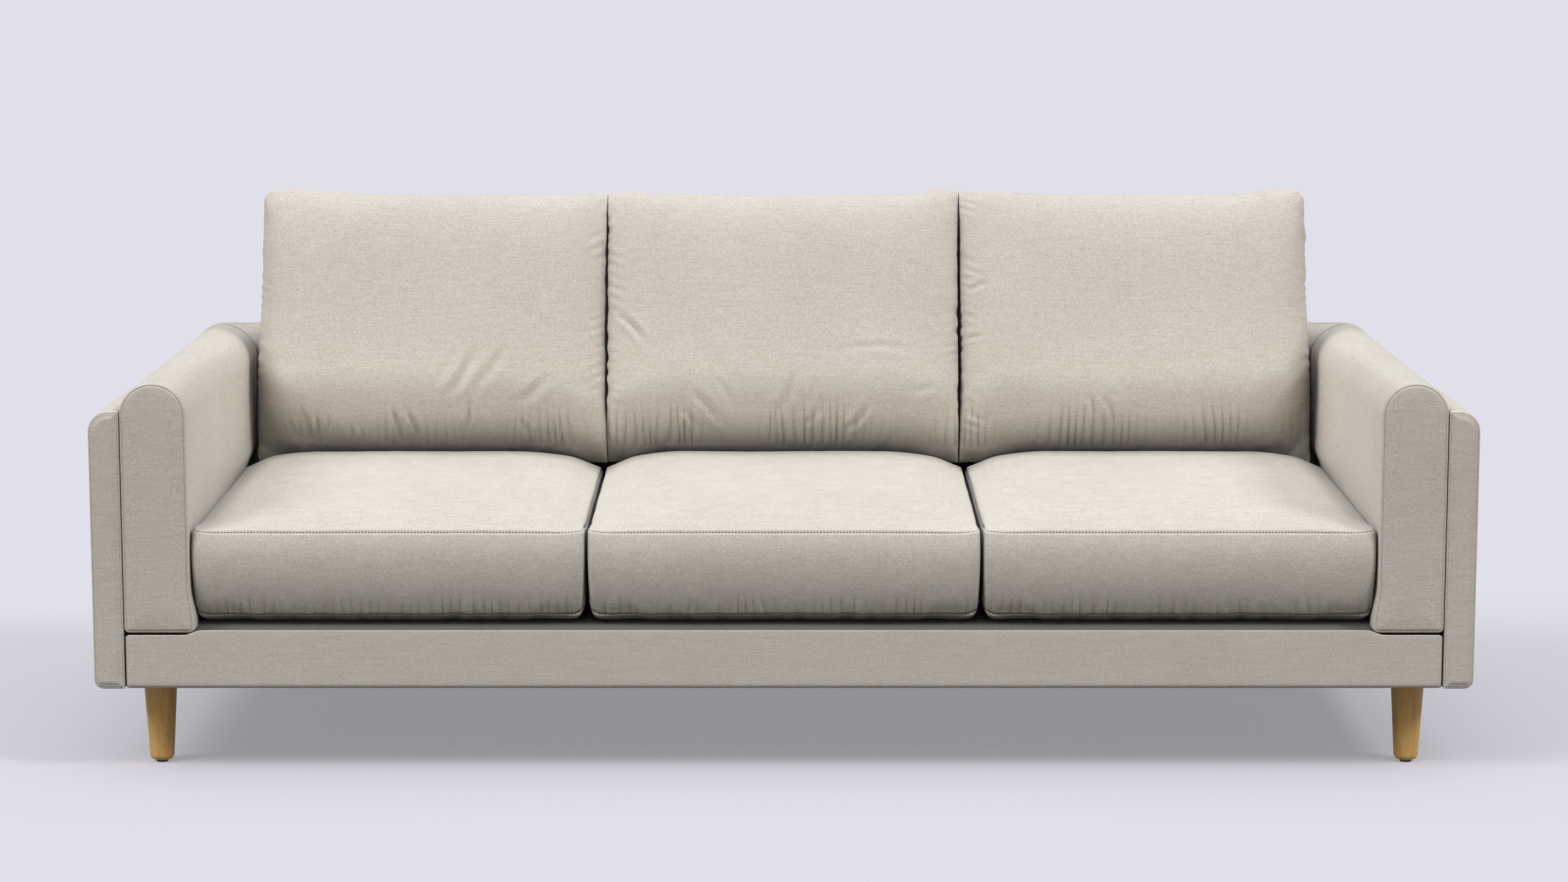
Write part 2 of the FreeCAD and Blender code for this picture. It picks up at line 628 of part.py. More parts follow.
arm_bolts = []
arm_nuts = []
for side, sign in SIDES:
    copes = {inset: back_solid(f"arm_cope_{side}_{count}", f"-({inset})",
                               "slab_inner + overshoot", "base_top - 2 * overshoot")
             for count, inset in enumerate(("seam_clear", "cover_thick + seam_clear",
                                            "cover_thick + 2 * seam_clear"))}
    outside = arm_solid(f"arm_cover_{side}_outside", side, "0", "base_top", "-rear")
    hollow = arm_solid(f"arm_cover_{side}_hollow_blank", side, "cover_thick", "base_top - overshoot",
                       "-rear + cover_thick")
    hollow = cut(f"arm_cover_{side}_hollow", hollow, [copes["cover_thick + seam_clear"]])
    keep(cut(f"arm_cover_{side}", outside, [copes["seam_clear"], hollow]))

    panel_front = "-rear + cover_thick + panel_front_foam"
    panel_foot = "base_top - seam_clear"
    low, high = between(side, "panel_inner", "frame_half")
    blank = prism(f"arm_panel_{side}_blank", "YZ_Plane",
                  [("-rail_inner", "frame_bottom"), ("rail_inner", "frame_bottom"),
                   ("rail_inner", panel_foot), (back_face(panel_foot, "-panel_gap"), panel_foot),
                   (back_face("panel_top", "-panel_gap"), "panel_top"), (panel_front, "panel_top"),
                   (panel_front, "base_top"), ("-rail_inner", "base_top")],
                  low, high)
    foam = arm_solid(f"arm_foam_{side}_blank", side, "cover_thick + seam_clear", "base_top",
                     "-rear + cover_thick + seam_clear")
    slot_low, slot_high = between(side, "panel_inner - seam_clear", "slab_inner")
    slot = prism(f"arm_foam_{side}_slot", "YZ_Plane",
                 [(f"{panel_front} - seam_clear", "base_top - overshoot"), ("rear", "base_top - overshoot"),
                  ("rear", "panel_top + seam_clear"),
                  (f"{panel_front} - seam_clear", "panel_top + seam_clear")],
                 slot_low, slot_high)
    keep(cut(f"arm_foam_{side}", foam, [copes["cover_thick + 2 * seam_clear"], slot]))

    low, high = between(side, "slab_inner + board_inset", "half - board_inset")
    board = prism(f"slab_board_{side}_blank", "YZ_Plane",
                  [("-rear + board_inset", "frame_bottom"), ("rear - board_inset", "frame_bottom"),
                   ("rear - board_inset", "slab_top - board_inset"),
                   ("-rear + board_inset", "slab_top - board_inset")],
                  low, high)
    low, high = between(side, "slab_inner", "half")
    outer_points = (0, 3) if side == "left" else (1, 2)
    skin = prism(f"slab_cover_{side}_outside", "XZ_Plane",
                 [(low, "base_bottom"), (high, "base_bottom"), (high, "slab_top"), (low, "slab_top")],
                 "-rear", "rear",
                 rounds={outer_points[0]: "slab_foot", outer_points[1]: "slab_edge"})
    low, high = between(side, "slab_inner + board_inset - seam_clear",
                        "half - board_inset + seam_clear")
    pocket = box(f"slab_cover_{side}_pocket",
                 (low, "-rear + board_inset - seam_clear", "base_bottom - overshoot"),
                 (high, "rear - board_inset + seam_clear", "slab_top - board_inset + seam_clear"))

    panel_holes = []
    board_holes = []
    skin_holes = [pocket]
    for count in (-1, 0, 1):
        label = f"{side}_{count + 2}"
        deep = f"{count} * arm_bolt_spread"
        grip = "half - board_inset - panel_inner"
        if side == "left":
            start, head_start = "-(half - board_inset)", "-panel_inner"
            flange_start, barrel_start = "-(half - board_inset)", "-(half - board_inset)"
        else:
            start, head_start = "panel_inner", "panel_inner - head_thick"
            flange_start, barrel_start = "half - board_inset - flange_thick", \
                "half - board_inset - barrel_length"
        spot = (start, deep, "arm_bolt_up")
        shank = rod(f"arm_bolt_{label}_shank", "x", spot, "bolt_size / 2", grip)
        head = rod(f"arm_bolt_{label}_head", "x", (head_start, deep, "arm_bolt_up"),
                   "head_size / 2", "head_thick")
        arm_bolts.append(fuse(f"arm_bolt_{label}", [shank, head]))
        arm_nuts.append(tee_nut(f"arm_nut_{label}", "x", ("", deep, "arm_bolt_up"),
                                flange_start, barrel_start))
        panel_holes.append(rod(f"panel_hole_{label}", "x", spot, "bolt_hole", grip))
        skin_holes.append(rod(f"skin_hole_{label}", "x", spot, "barrel_hole", grip))
        board_holes.append(rod(f"board_hole_{label}", "x", spot, "barrel_hole", grip))
        sink_start = start if side == "left" else f"{flange_start} - bolt_clear"
        board_holes.append(rod(f"board_sink_{label}", "x", (sink_start, deep, "arm_bolt_up"),
                               "flange_size / 2 + bolt_clear", "flange_thick + bolt_clear"))
    keep(cut(f"arm_panel_{side}", blank, panel_holes))
    keep(cut(f"slab_board_{side}", board, board_holes))
    keep(cut(f"slab_cover_{side}", skin, skin_holes))
keep(group("arm_bolts", arm_bolts))
keep(group("arm_nuts", arm_nuts))


# ---------------------------------------------------------------- cushions
def seat_solid(name, across, inset):
    """A seat cushion's crowned outline, moved inwards by the inset."""
    front = f"seat_front + ({inset})"
    rear_face = f"seat_rear - ({inset})"
    floor = f"seat_bottom + ({inset})"
    return prism(name, "YZ_Plane",
                 [(front, floor), (rear_face, floor),
                  (rear_face, f"seat_bottom + seat_rear_height - ({inset})"),
                  (front, f"seat_bottom + seat_edge_height - ({inset})")],
                 f"{across} - seat_width / 2 + ({inset})", f"{across} + seat_width / 2 - ({inset})",
                 arcs={2: "crown_centre"},
                 rounds={0: f"seat_round - ({inset})", 1: f"seat_round - ({inset})"})


def cushion_back(up):
    """Depth of a back cushion's rear face at a height: it leans on the back module's round edge."""
    return f"touch_deep + (({up}) - touch_up) * tan(cushion_lean)"


def cushion_solid(name, across, inset):
    """A back cushion's leaning outline, moved inwards by the inset."""
    floor = f"cushion_bottom + ({inset})"
    slope = f"({inset}) / cos(cushion_lean)"
    front_shift = f"back_cushion_thick / cos(cushion_lean) - {slope}"
    top_front_up = f"cushion_peak - ({inset}) * (sin(cushion_lean) + cos(cushion_lean))"
    thick = f"back_cushion_thick - 2 * ({inset})"
    top_front = f"{cushion_back(top_front_up)} - ({front_shift})"
    return prism(name, "YZ_Plane",
                 [(f"{cushion_back(floor)} - ({front_shift})", floor),
                  (f"{cushion_back(floor)} - {slope}", floor),
                  (f"{top_front} + ({thick}) * cos(cushion_lean)",
                   f"{top_front_up} - ({thick}) * sin(cushion_lean)"),
                  (top_front, top_front_up)],
                 f"{across} - back_width / 2 + ({inset})", f"{across} + back_width / 2 - ({inset})",
                 rounds={0: f"cushion_toe - ({inset})", 1: f"cushion_toe - ({inset})",
                         2: f"cushion_round - ({inset})", 3: f"cushion_round - ({inset})"})


for count, place_name in enumerate(("left", "centre", "right"), start=-1):
    for kind, pitch, solid in (("seat", "seat_pitch", seat_solid), ("back", "back_pitch", cushion_solid)):
        name = f"{kind}_cushion"
        across = f"{count} * {pitch}"
        outer = solid(f"{name}_cover_{place_name}_outside", across, "0")
        hollow = solid(f"{name}_cover_{place_name}_hollow", across, "cushion_cover_thick")
        keep(cut(f"{name}_cover_{place_name}", outer, [hollow]))
        keep(solid(f"{name}_core_{place_name}", across, "cushion_cover_thick + seam_clear"))

# ---------------------------------------------------------------- check and export
doc.recompute()
faults = [item.Label for item in doc.Objects if {"Invalid", "Error"} & set(item.State)]
for item in parts:
    if item.Shape.isNull() or not item.Shape.isValid() or not item.Shape.Solids:
        faults.append(item.Label)
if faults:
    raise SystemExit("failed: " + ", ".join(faults))

os.makedirs("parts", exist_ok=True)
whole = Part.makeCompound([item.Shape for item in parts])
for item in parts:
    item.Shape.exportStep(f"parts/{item.Label}.step")
bounds = whole.BoundBox
print(f"{len(parts)} nodes, {len(whole.Solids)} solids, "
      f"{bounds.XLength:.1f} x {bounds.YLength:.1f} x {bounds.ZLength:.1f} mm")
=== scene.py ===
# %% [markdown]
# # A three-seat sofa with loose cushions and turned wooden legs
# The frame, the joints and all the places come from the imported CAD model, which is loaded first
# and never changed. What this file adds is how the sofa looks: cloth that is padded, seamed and
# stitched, oiled wood, and a plain stage with soft light. Everything is in metres, with the floor
# at zero, the front of the sofa towards -Y and its left arm on the -X side.

# %% Load the frame
import json
import math

import bpy
import numpy as np
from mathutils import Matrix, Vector
from mathutils.bvhtree import BVHTree
from mathutils.kdtree import KDTree


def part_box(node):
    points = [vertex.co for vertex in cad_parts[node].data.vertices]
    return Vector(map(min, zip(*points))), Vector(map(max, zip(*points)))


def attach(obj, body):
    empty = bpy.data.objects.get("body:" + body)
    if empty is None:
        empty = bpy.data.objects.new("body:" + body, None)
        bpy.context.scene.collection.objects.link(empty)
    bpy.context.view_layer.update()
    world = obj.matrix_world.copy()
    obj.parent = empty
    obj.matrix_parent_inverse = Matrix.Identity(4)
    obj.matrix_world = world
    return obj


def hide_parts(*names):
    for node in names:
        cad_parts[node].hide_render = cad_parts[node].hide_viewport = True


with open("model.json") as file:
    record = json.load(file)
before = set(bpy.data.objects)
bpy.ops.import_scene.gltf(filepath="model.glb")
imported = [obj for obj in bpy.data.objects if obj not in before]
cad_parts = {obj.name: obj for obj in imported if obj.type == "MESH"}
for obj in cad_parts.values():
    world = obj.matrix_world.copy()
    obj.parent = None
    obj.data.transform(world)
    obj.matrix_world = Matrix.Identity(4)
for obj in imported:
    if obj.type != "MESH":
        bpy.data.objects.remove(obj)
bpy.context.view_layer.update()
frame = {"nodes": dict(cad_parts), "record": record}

MM = 0.001

# %% [markdown]
# ## Camera
# A sofa is usually seen from a standing eye a few steps away. A long lens keeps the arms square,
# and the camera looks down a little, so the seats show their tops. A lens closer to the sofa would
# spread the arms and hide the depth of the seats.

# %% The camera
CAMERA_DISTANCE = 6.497
CAMERA_HEIGHT = 1.449
CAMERA_PITCH = 8.48
CAMERA_LENS = 87.29
CAMERA_SENSOR = 36.0

camera_data = bpy.data.cameras.new("camera")
camera_data.lens = CAMERA_LENS
camera_data.sensor_width = CAMERA_SENSOR
camera = bpy.data.objects.new("camera", camera_data)
camera.location = (0, -CAMERA_DISTANCE, CAMERA_HEIGHT)
camera.rotation_euler = (math.radians(90 - CAMERA_PITCH), 0, 0)
bpy.context.scene.collection.objects.link(camera)
bpy.context.scene.camera = camera
print("camera", tuple(camera.location), "lens", camera_data.lens)


# %% [markdown]
# ## Small helpers for shader nodes
# A material is a graph of nodes. Writing each link out by hand is long, so one helper adds a node,
# sets its values and links its inputs in a single call. Node groups are made the same way, with
# their sockets declared first.

# %% Adding nodes
def set_inputs(tree, node, inputs):
    """Set each named input to a value, or link it to a socket."""
    for name, value in inputs.items():
        if isinstance(value, bpy.types.NodeSocket):
            tree.links.new(value, node.inputs[name])
        else:
            node.inputs[name].default_value = value


def add_node(tree, kind, inputs=None, **settings):
    """Add a node, set its properties, and set or link its inputs."""
    node = tree.nodes.new(kind)
    for name, value in settings.items():
        setattr(node, name, value)
    set_inputs(tree, node, inputs or {})
    return node


def math_node(tree, operation, first, second=0.0, third=0.0, clamp=False):
    """One Math node; its inputs are numbers or sockets."""
    return add_node(tree, "ShaderNodeMath", {0: first, 1: second, 2: third},
                    operation=operation, use_clamp=clamp).outputs[0]


def map_range(tree, value, limits):
    """0 to 1 as a value goes from the lower to the upper limit."""
    return add_node(tree, "ShaderNodeMapRange", {0: value, 1: limits[0], 2: limits[1]}).outputs[0]


def noise(tree, place, scale, detail, **more):
    """One Noise node's value and colour; more sets its other inputs."""
    inputs = {"Vector": place, "Scale": scale, "Detail": detail, **more}
    return add_node(tree, "ShaderNodeTexNoise", inputs).outputs


def mix_colour(tree, share, first, second, blend="MIX"):
    """One colour Mix node."""
    node = add_node(tree, "ShaderNodeMix", {0: share, 6: first, 7: second},
                    data_type="RGBA", blend_type=blend)
    return node.outputs[2]


print("helpers for nodes are ready")


# %% Node groups and colours
def new_group(name, inputs, outputs):
    """An empty node group with named sockets, and its two end nodes."""
    group = bpy.data.node_groups.new(name, "ShaderNodeTree")
    for label, kind, value in inputs:
        socket = group.interface.new_socket(label, in_out="INPUT", socket_type=kind)
        if value is not None:
            socket.default_value = value
    for label, kind in outputs:
        group.interface.new_socket(label, in_out="OUTPUT", socket_type=kind)
    return group, group.nodes.new("NodeGroupInput"), group.nodes.new("NodeGroupOutput")


# Every group for a finish puts out the same three things.
FINISH_OUTPUTS = [("Color", "NodeSocketColor"), ("Height", "NodeSocketFloat"), ("Rough", "NodeSocketFloat")]


def colour(red, green, blue):
    """A linear colour from the 0 to 255 values that a paint chart gives."""
    def linear(value):
        value /= 255
        return value / 12.92 if value <= 0.04045 else ((value + 0.055) / 1.055) ** 2.4
    return (linear(red), linear(green), linear(blue), 1.0)


print("a mid grey is", round(colour(128, 128, 128)[0], 3), "in linear light")


# %% [markdown]
# ## The cloth
# The cover is a soft melange weave: pale and darker fibres are spun together, so the colour is
# mottled at the size of a thread, with a faint slub here and there. An image would need UVs and
# would repeat. Instead the weave is worked out from the object's own coordinates on three planes,
# and the plane that faces the surface is used.

# %% Node group: thread weave
PLANE_SHARPNESS = 4.0


def make_weave_group():
    """A plain weave on the three main planes, chosen by the direction that the surface faces."""
    group, start, end = new_group(
        "thread_weave",
        [("Place", "NodeSocketVector", None), ("Threads", "NodeSocketFloat", 1.0)],
        [("Height", "NodeSocketFloat")])
    scaled = add_node(group, "ShaderNodeVectorMath",
                      {0: start.outputs["Place"], 3: start.outputs["Threads"]}, operation="SCALE")
    parts = add_node(group, "ShaderNodeSeparateXYZ", {0: scaled.outputs[0]})
    waves = [math_node(group, "SINE", math_node(group, "MULTIPLY", parts.outputs[axis], math.pi))
             for axis in range(3)]
    normal = add_node(group, "ShaderNodeNewGeometry").outputs["Normal"]
    facing = add_node(group, "ShaderNodeSeparateXYZ", {0: normal})
    shares = [math_node(group, "POWER", math_node(group, "ABSOLUTE", facing.outputs[axis]), PLANE_SHARPNESS)
              for axis in range(3)]
    height = None
    total = None
    for axis in range(3):
        across, along = waves[(axis + 1) % 3], waves[(axis + 2) % 3]
        plane = math_node(group, "MULTIPLY", math_node(group, "MULTIPLY", across, along), shares[axis])
        height = plane if height is None else math_node(group, "ADD", height, plane)
        total = shares[axis] if total is None else math_node(group, "ADD", total, shares[axis])
    evened = math_node(group, "DIVIDE", height, total)
    set_inputs(group, end, {"Height": math_node(group, "MULTIPLY_ADD", evened, 0.5, 0.5)})
    return group


weave_group = make_weave_group()
print("group", weave_group.name, len(weave_group.nodes), "nodes")


# %% Node group: melange colour
# Sizes are given as noise scales: how many changes there are in a metre.
FIBRE_SCALE, YARN_SCALE, SHADE_SCALE = 560.0, 190.0, 5.0
SLUB_SCALE = (30.0, 30.0, 420.0)
FIBRE_SHARE, YARN_SHARE, SLUB_SHARE, WEAVE_SHARE = 0.54, 0.18, 0.16, 0.12
MELANGE_CONTRAST = 3.2
SHADE_CHANGE = 0.35
CLOTH_ROUGH, CLOTH_ROUGH_CHANGE = 0.84, 0.12


def make_melange_group():
    """Fibre mottling, slubs and slow shade changes over a woven height."""
    group, start, end = new_group(
        "melange_cloth",
        [("Place", "NodeSocketVector", None), ("Pale", "NodeSocketColor", None),
         ("Dark", "NodeSocketColor", None), ("Threads", "NodeSocketFloat", 700.0),
         ("Mottle", "NodeSocketFloat", 1.0)], FINISH_OUTPUTS)
    spot = start.outputs["Place"]
    weave = add_node(group, "ShaderNodeGroup", {"Place": spot, "Threads": start.outputs["Threads"]},
                     node_tree=weave_group).outputs[0]
    fibre = noise(group, spot, FIBRE_SCALE, 2.0)[0]
    yarn = noise(group, spot, YARN_SCALE, 3.0, Roughness=0.7)[0]
    slow = noise(group, spot, SHADE_SCALE, 2.0)[0]
    slub_place = add_node(group, "ShaderNodeMapping", {"Vector": spot, "Scale": SLUB_SCALE})
    slub = noise(group, slub_place.outputs[0], 1.0, 2.0)[0]
    shade = math_node(group, "MULTIPLY", fibre, FIBRE_SHARE)
    for source, weight in ((yarn, YARN_SHARE), (slub, SLUB_SHARE), (weave, WEAVE_SHARE)):
        shade = math_node(group, "ADD", shade, math_node(group, "MULTIPLY", source, weight))
    contrast = math_node(group, "MULTIPLY", start.outputs["Mottle"], MELANGE_CONTRAST)
    spread = math_node(group, "MULTIPLY", math_node(group, "SUBTRACT", shade, 0.5), contrast)
    slow_part = math_node(group, "MULTIPLY", math_node(group, "SUBTRACT", slow, 0.5), SHADE_CHANGE)
    share = math_node(group, "ADD", math_node(group, "ADD", spread, 0.5), slow_part, clamp=True)
    height = math_node(group, "ADD", math_node(group, "MULTIPLY", weave, 0.5),
                       math_node(group, "MULTIPLY", fibre, 0.5))
    set_inputs(group, end, {
        "Color": mix_colour(group, share, start.outputs["Dark"], start.outputs["Pale"]),
        "Height": height,
        "Rough": math_node(group, "MULTIPLY_ADD", yarn, CLOTH_ROUGH_CHANGE, CLOTH_ROUGH)})
    return group


melange_group = make_melange_group()
print("group", melange_group.name, len(melange_group.nodes), "nodes")


# %% [markdown]
# ## From a pattern to a material
# A group gives colours and heights but no light, so each material puts them into a Principled
# shader of its own. Cloth gets a little sheen for its fuzz. Where the cover is closed in, as
# between two covers that press against each other, its colour is darkened by how closed in it is:
# this is painted shade, worked out by an ambient occlusion node.

# %% Cloth materials
def new_material(name, rough=0.6, metallic=0.0):
    """A material with a Principled shader that is still to be filled in."""
    material = bpy.data.materials.new(name)
    material.use_nodes = True
    tree = material.node_tree
    shader = tree.nodes["Principled BSDF"]
    set_inputs(tree, shader, {"Roughness": rough, "Metallic": metallic})
    return material, tree, shader


def object_place(tree):
    """The place on the object, which stays with the piece when it moves."""
    return add_node(tree, "ShaderNodeTexCoord").outputs["Object"]


def bump(tree, height, strength, distance):
    """A normal that a height tilts; distance is how far the height stands out."""
    return add_node(tree, "ShaderNodeBump", {"Height": height, "Strength": strength,
                                             "Distance": distance}).outputs[0]


# Painted shade: how far the ambient occlusion looks, how strongly it darkens the colour, and how many rays
# it casts.
PAINTED_SHADE_REACH = 90 * MM
PAINTED_SHADE_GAIN = 1.2
PAINTED_SHADE_SAMPLES = 8
THREAD_BUMP, THREAD_RELIEF = 0.25, 0.4 * MM
FUZZ_ROUGH = 0.6
CLOTH_SHINE = 0.2


def cloth(name, pale, dark, threads=640.0, mottle=1.0, sheen=0.25, painted_shade=None):
    """A woven cloth: melange colour, thread relief, a little fuzz, and painted shade where it is closed in,
    if a shade colour is given.
    """
    material, tree, shader = new_material(name)
    weave = add_node(tree, "ShaderNodeGroup", {"Place": object_place(tree), "Pale": pale, "Dark": dark,
                                               "Threads": threads, "Mottle": mottle},
                     node_tree=melange_group).outputs
    shown = weave["Color"]
    # Painted shade: the colour is mixed towards a darker one where the ambient occlusion finds the cloth
    # closed in.
    if painted_shade is not None:
        painted_shade_openness = add_node(tree, "ShaderNodeAmbientOcclusion", {"Distance": PAINTED_SHADE_REACH},
                              samples=PAINTED_SHADE_SAMPLES).outputs["AO"]
        share = math_node(tree, "MULTIPLY", painted_shade_openness, PAINTED_SHADE_GAIN, clamp=True)
        shown = mix_colour(tree, share, painted_shade, shown)
    set_inputs(tree, shader, {
        "Base Color": shown, "Roughness": weave["Rough"],
        "Normal": bump(tree, weave["Height"], THREAD_BUMP, THREAD_RELIEF),
        "Sheen Weight": sheen, "Sheen Roughness": FUZZ_ROUGH, "Specular IOR Level": CLOTH_SHINE})
    return material


COVER_PALE, COVER_DARK = colour(236, 230, 220), colour(200, 192, 179)
# The cover gets painted shade where it is closed in; the arm pads' cloth does not.
COVER = cloth("cover_cloth", COVER_PALE, COVER_DARK, mottle=1.3, painted_shade=colour(100, 98, 93))
PAD_COVER = cloth("pad_cloth", COVER_PALE, COVER_DARK, mottle=1.3)
# The thread is darker than the cover, partly as its own colour and partly as painted shade for the holes
# where each stitch dips in, so a seam reads as dark dashes.
THREAD = cloth("sewing_thread", colour(92, 84, 73), colour(62, 56, 48), threads=2400.0, sheen=0.1)
LINING = cloth("black_lining", colour(44, 44, 46), colour(22, 22, 24), threads=900.0, sheen=0.1)
WEBBING = cloth("webbing_cloth", colour(150, 138, 112), colour(96, 86, 68), threads=500.0)
# The decking is darker than the cover, partly as decking cloth is and partly as painted shade for the slot
# under the seats; it also gets painted shade where it is closed in.
DECKING = cloth("decking_cloth", colour(140, 134, 122), colour(116, 110, 99), painted_shade=colour(66, 63, 56))
FELT = cloth("felt_pad", colour(120, 114, 106), colour(72, 68, 62), threads=1500.0)
print("cloths", [item.name for item in (COVER, PAD_COVER, THREAD, LINING, WEBBING, DECKING, FELT)])


# %% [markdown]
# ## Wood, board and metal
# The legs are turned from pale hardwood and oiled. A turned leg shows long grain along its axis,
# so noise is stretched along Z and warped a little. The hidden frame is plain timber, plywood and
# steel: seldom seen, yet each one still has its own grain or finish.

# %% Node group: wood grain
GRAIN_ALONG_Z = (1.0, 1.0, 0.06)
GRAIN_SIZE = 90.0
BEND_SCALE, TONE_SCALE = 25.0, 9.0
PORES_PER_RING = 9.0
RING_SHARE, TONE_SHARE = 0.75, 0.35
PORE_RANGE, STREAK_RANGE = (0.60, 0.74), (0.36, 0.72)
PORE_DARKNESS = 0.55
WOOD_ROUGH, WOOD_ROUGH_CHANGE = 0.55, -0.12


def make_grain_group():
    """Long grain along Z: pale and dark streaks, fine pores and slow changes of tone."""
    group, start, end = new_group(
        "wood_grain",
        [("Place", "NodeSocketVector", None), ("Pale", "NodeSocketColor", None),
         ("Dark", "NodeSocketColor", None), ("Stretch", "NodeSocketVector", GRAIN_ALONG_Z),
         ("Size", "NodeSocketFloat", GRAIN_SIZE)], FINISH_OUTPUTS)
    place, stretch, size = (start.outputs[label] for label in ("Place", "Stretch", "Size"))
    drawn = add_node(group, "ShaderNodeVectorMath", {0: place, 1: stretch},
                     operation="MULTIPLY").outputs[0]
    bend = noise(group, drawn, BEND_SCALE, 2.0)["Color"]
    warped = add_node(group, "ShaderNodeVectorMath", {0: drawn, 1: bend}, operation="ADD").outputs[0]
    rings = noise(group, drawn, size, 4.0, Roughness=0.6, Distortion=0.4)[0]
    tone = noise(group, warped, TONE_SCALE, 2.0)[0]
    pores = noise(group, drawn, math_node(group, "MULTIPLY", size, PORES_PER_RING), 1.0)[0]
    pits = map_range(group, pores, PORE_RANGE)
    share = math_node(group, "ADD", math_node(group, "MULTIPLY", rings, RING_SHARE),
                      math_node(group, "MULTIPLY", tone, TONE_SHARE), clamp=True)
    spread = map_range(group, share, STREAK_RANGE)
    streaks = mix_colour(group, spread, start.outputs["Dark"], start.outputs["Pale"])
    pitted = math_node(group, "MULTIPLY", pits, PORE_DARKNESS)
    set_inputs(group, end, {
        "Color": mix_colour(group, pitted, streaks, start.outputs["Dark"], "MULTIPLY"),
        "Height": math_node(group, "SUBTRACT", spread, pits),
        "Rough": math_node(group, "MULTIPLY_ADD", spread, WOOD_ROUGH_CHANGE, WOOD_ROUGH)})
    return group


grain_group = make_grain_group()
print("group", grain_group.name, len(grain_group.nodes), "nodes")

# %% Wood and board materials
GRAIN_BUMP, GRAIN_RELIEF = 0.35, 0.1 * MM
OIL_ROUGH = 0.35


def wood(name, pale, dark, stretch=GRAIN_ALONG_Z, size=GRAIN_SIZE, coat=0.0):
    """Bare or oiled wood with its grain along the direction that is stretched."""
    material, tree, shader = new_material(name)
    grain = add_node(tree, "ShaderNodeGroup", {"Place": object_place(tree), "Pale": pale, "Dark": dark,
                                               "Stretch": stretch, "Size": size},
                     node_tree=grain_group).outputs
    set_inputs(tree, shader, {
        "Base Color": grain["Color"], "Roughness": grain["Rough"],
        "Normal": bump(tree, grain["Height"], GRAIN_BUMP, GRAIN_RELIEF),
        "Coat Weight": coat, "Coat Roughness": OIL_ROUGH})
    return material


LEG_WOOD = wood("oiled_leg_wood", colour(252, 207, 129), colour(226, 170, 96), coat=0.12)
TIMBER = wood("rail_timber", colour(214, 186, 142), colour(172, 138, 94), (0.06, 1.0, 1.0), 60.0)
PLYWOOD = wood("plywood_board", colour(208, 182, 140), colour(166, 134, 92), (1.0, 0.08, 1.0), 110.0)
print("woods", [item.name for item in (LEG_WOOD, TIMBER, PLYWOOD)])

# %% Foam and metal materials
FOAM_ROUGH = 0.9
FOAM_PORE_SCALE, FOAM_PORE_SHARE = 500.0, 0.6
YELLOWED_SCALE, YELLOWED_SHARE = 8.0, 0.5
FOAM_BUMP, FOAM_RELIEF = 0.3, 0.5 * MM
POLISH_SCALE, POLISH_CHANGE = 60.0, 0.25


def foam(name, pale, dark):
    """Open foam: fine pores, slightly yellowed in places."""
    material, tree, shader = new_material(name, rough=FOAM_ROUGH)
    place = object_place(tree)
    pores = add_node(tree, "ShaderNodeTexVoronoi",
                     {"Vector": place, "Scale": FOAM_PORE_SCALE}).outputs["Distance"]
    yellowed = math_node(tree, "MULTIPLY", noise(tree, place, YELLOWED_SCALE, 2.0)[0], YELLOWED_SHARE)
    share = math_node(tree, "MULTIPLY_ADD", pores, FOAM_PORE_SHARE, yellowed, clamp=True)
    set_inputs(tree, shader, {"Base Color": mix_colour(tree, share, dark, pale),
                              "Normal": bump(tree, pores, FOAM_BUMP, FOAM_RELIEF)})
    return material


def metal(name, bright, dull, rough):
    """Drawn or pressed steel with uneven polish."""
    material, tree, shader = new_material(name, rough=rough, metallic=1.0)
    tone = noise(tree, object_place(tree), POLISH_SCALE, 4.0)[0]
    polish = math_node(tree, "MULTIPLY_ADD", tone, POLISH_CHANGE, rough - 0.12)
    set_inputs(tree, shader, {"Base Color": mix_colour(tree, tone, dull, bright), "Roughness": polish})
    return material


FOAM = foam("seat_foam", colour(236, 228, 200), colour(206, 192, 152))
STEEL = metal("zinc_steel", colour(188, 190, 192), colour(132, 134, 138), 0.36)
SPRING_STEEL = metal("spring_steel", colour(112, 114, 118), colour(66, 68, 72), 0.42)
print("others", [item.name for item in (FOAM, STEEL, SPRING_STEEL)])

# %% [markdown]
# ## Finishes for the CAD nodes
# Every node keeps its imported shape, and only its material slots change. The record says which
# slot a node belongs to, so one table is enough for the whole hidden frame.

# %% Give each CAD node its material
FINISHES = {"cover_fabric": COVER, "foam": FOAM, "dust_cloth": LINING, "webbing": WEBBING,
            "felt": FELT, "leg_wood": LEG_WOOD, "timber": TIMBER, "plywood": PLYWOOD,
            "steel": STEEL, "spring_steel": SPRING_STEEL}


def dress(piece, material):
    """Put one material in every slot of a piece."""
    if not piece.data.materials:
        piece.data.materials.append(material)
    for slot in range(len(piece.data.materials)):
        piece.data.materials[slot] = material


slot_of = {row["node"]: row["material_slot"] for row in frame["record"]["subparts"]}
for node_name, node in frame["nodes"].items():
    dress(node, FINISHES[slot_of[node_name]])
print("dressed", len(frame["nodes"]), "nodes in", len(set(slot_of.values())), "finishes")


# %% [markdown]
# ## Shapes from rows of points
# Upholstery is a skin pulled over a padded block, so most pieces here are lofts: the same outline
# repeated along the piece, drawn in a little towards each end. The ends close with rows of quads
# from one side to the other, which shade smoothly and leave no long triangles.

# %% Making a mesh
def new_piece(name, points, faces, material=COVER):
    """A smooth mesh with its material in every slot."""
    mesh = bpy.data.meshes.new(name)
    mesh.from_pydata([tuple(point) for point in points], [], [tuple(face) for face in faces])
    mesh.validate()
    mesh.shade_smooth()
    piece = bpy.data.objects.new(name, mesh)
    bpy.context.scene.collection.objects.link(piece)
    dress(piece, material)
    return piece


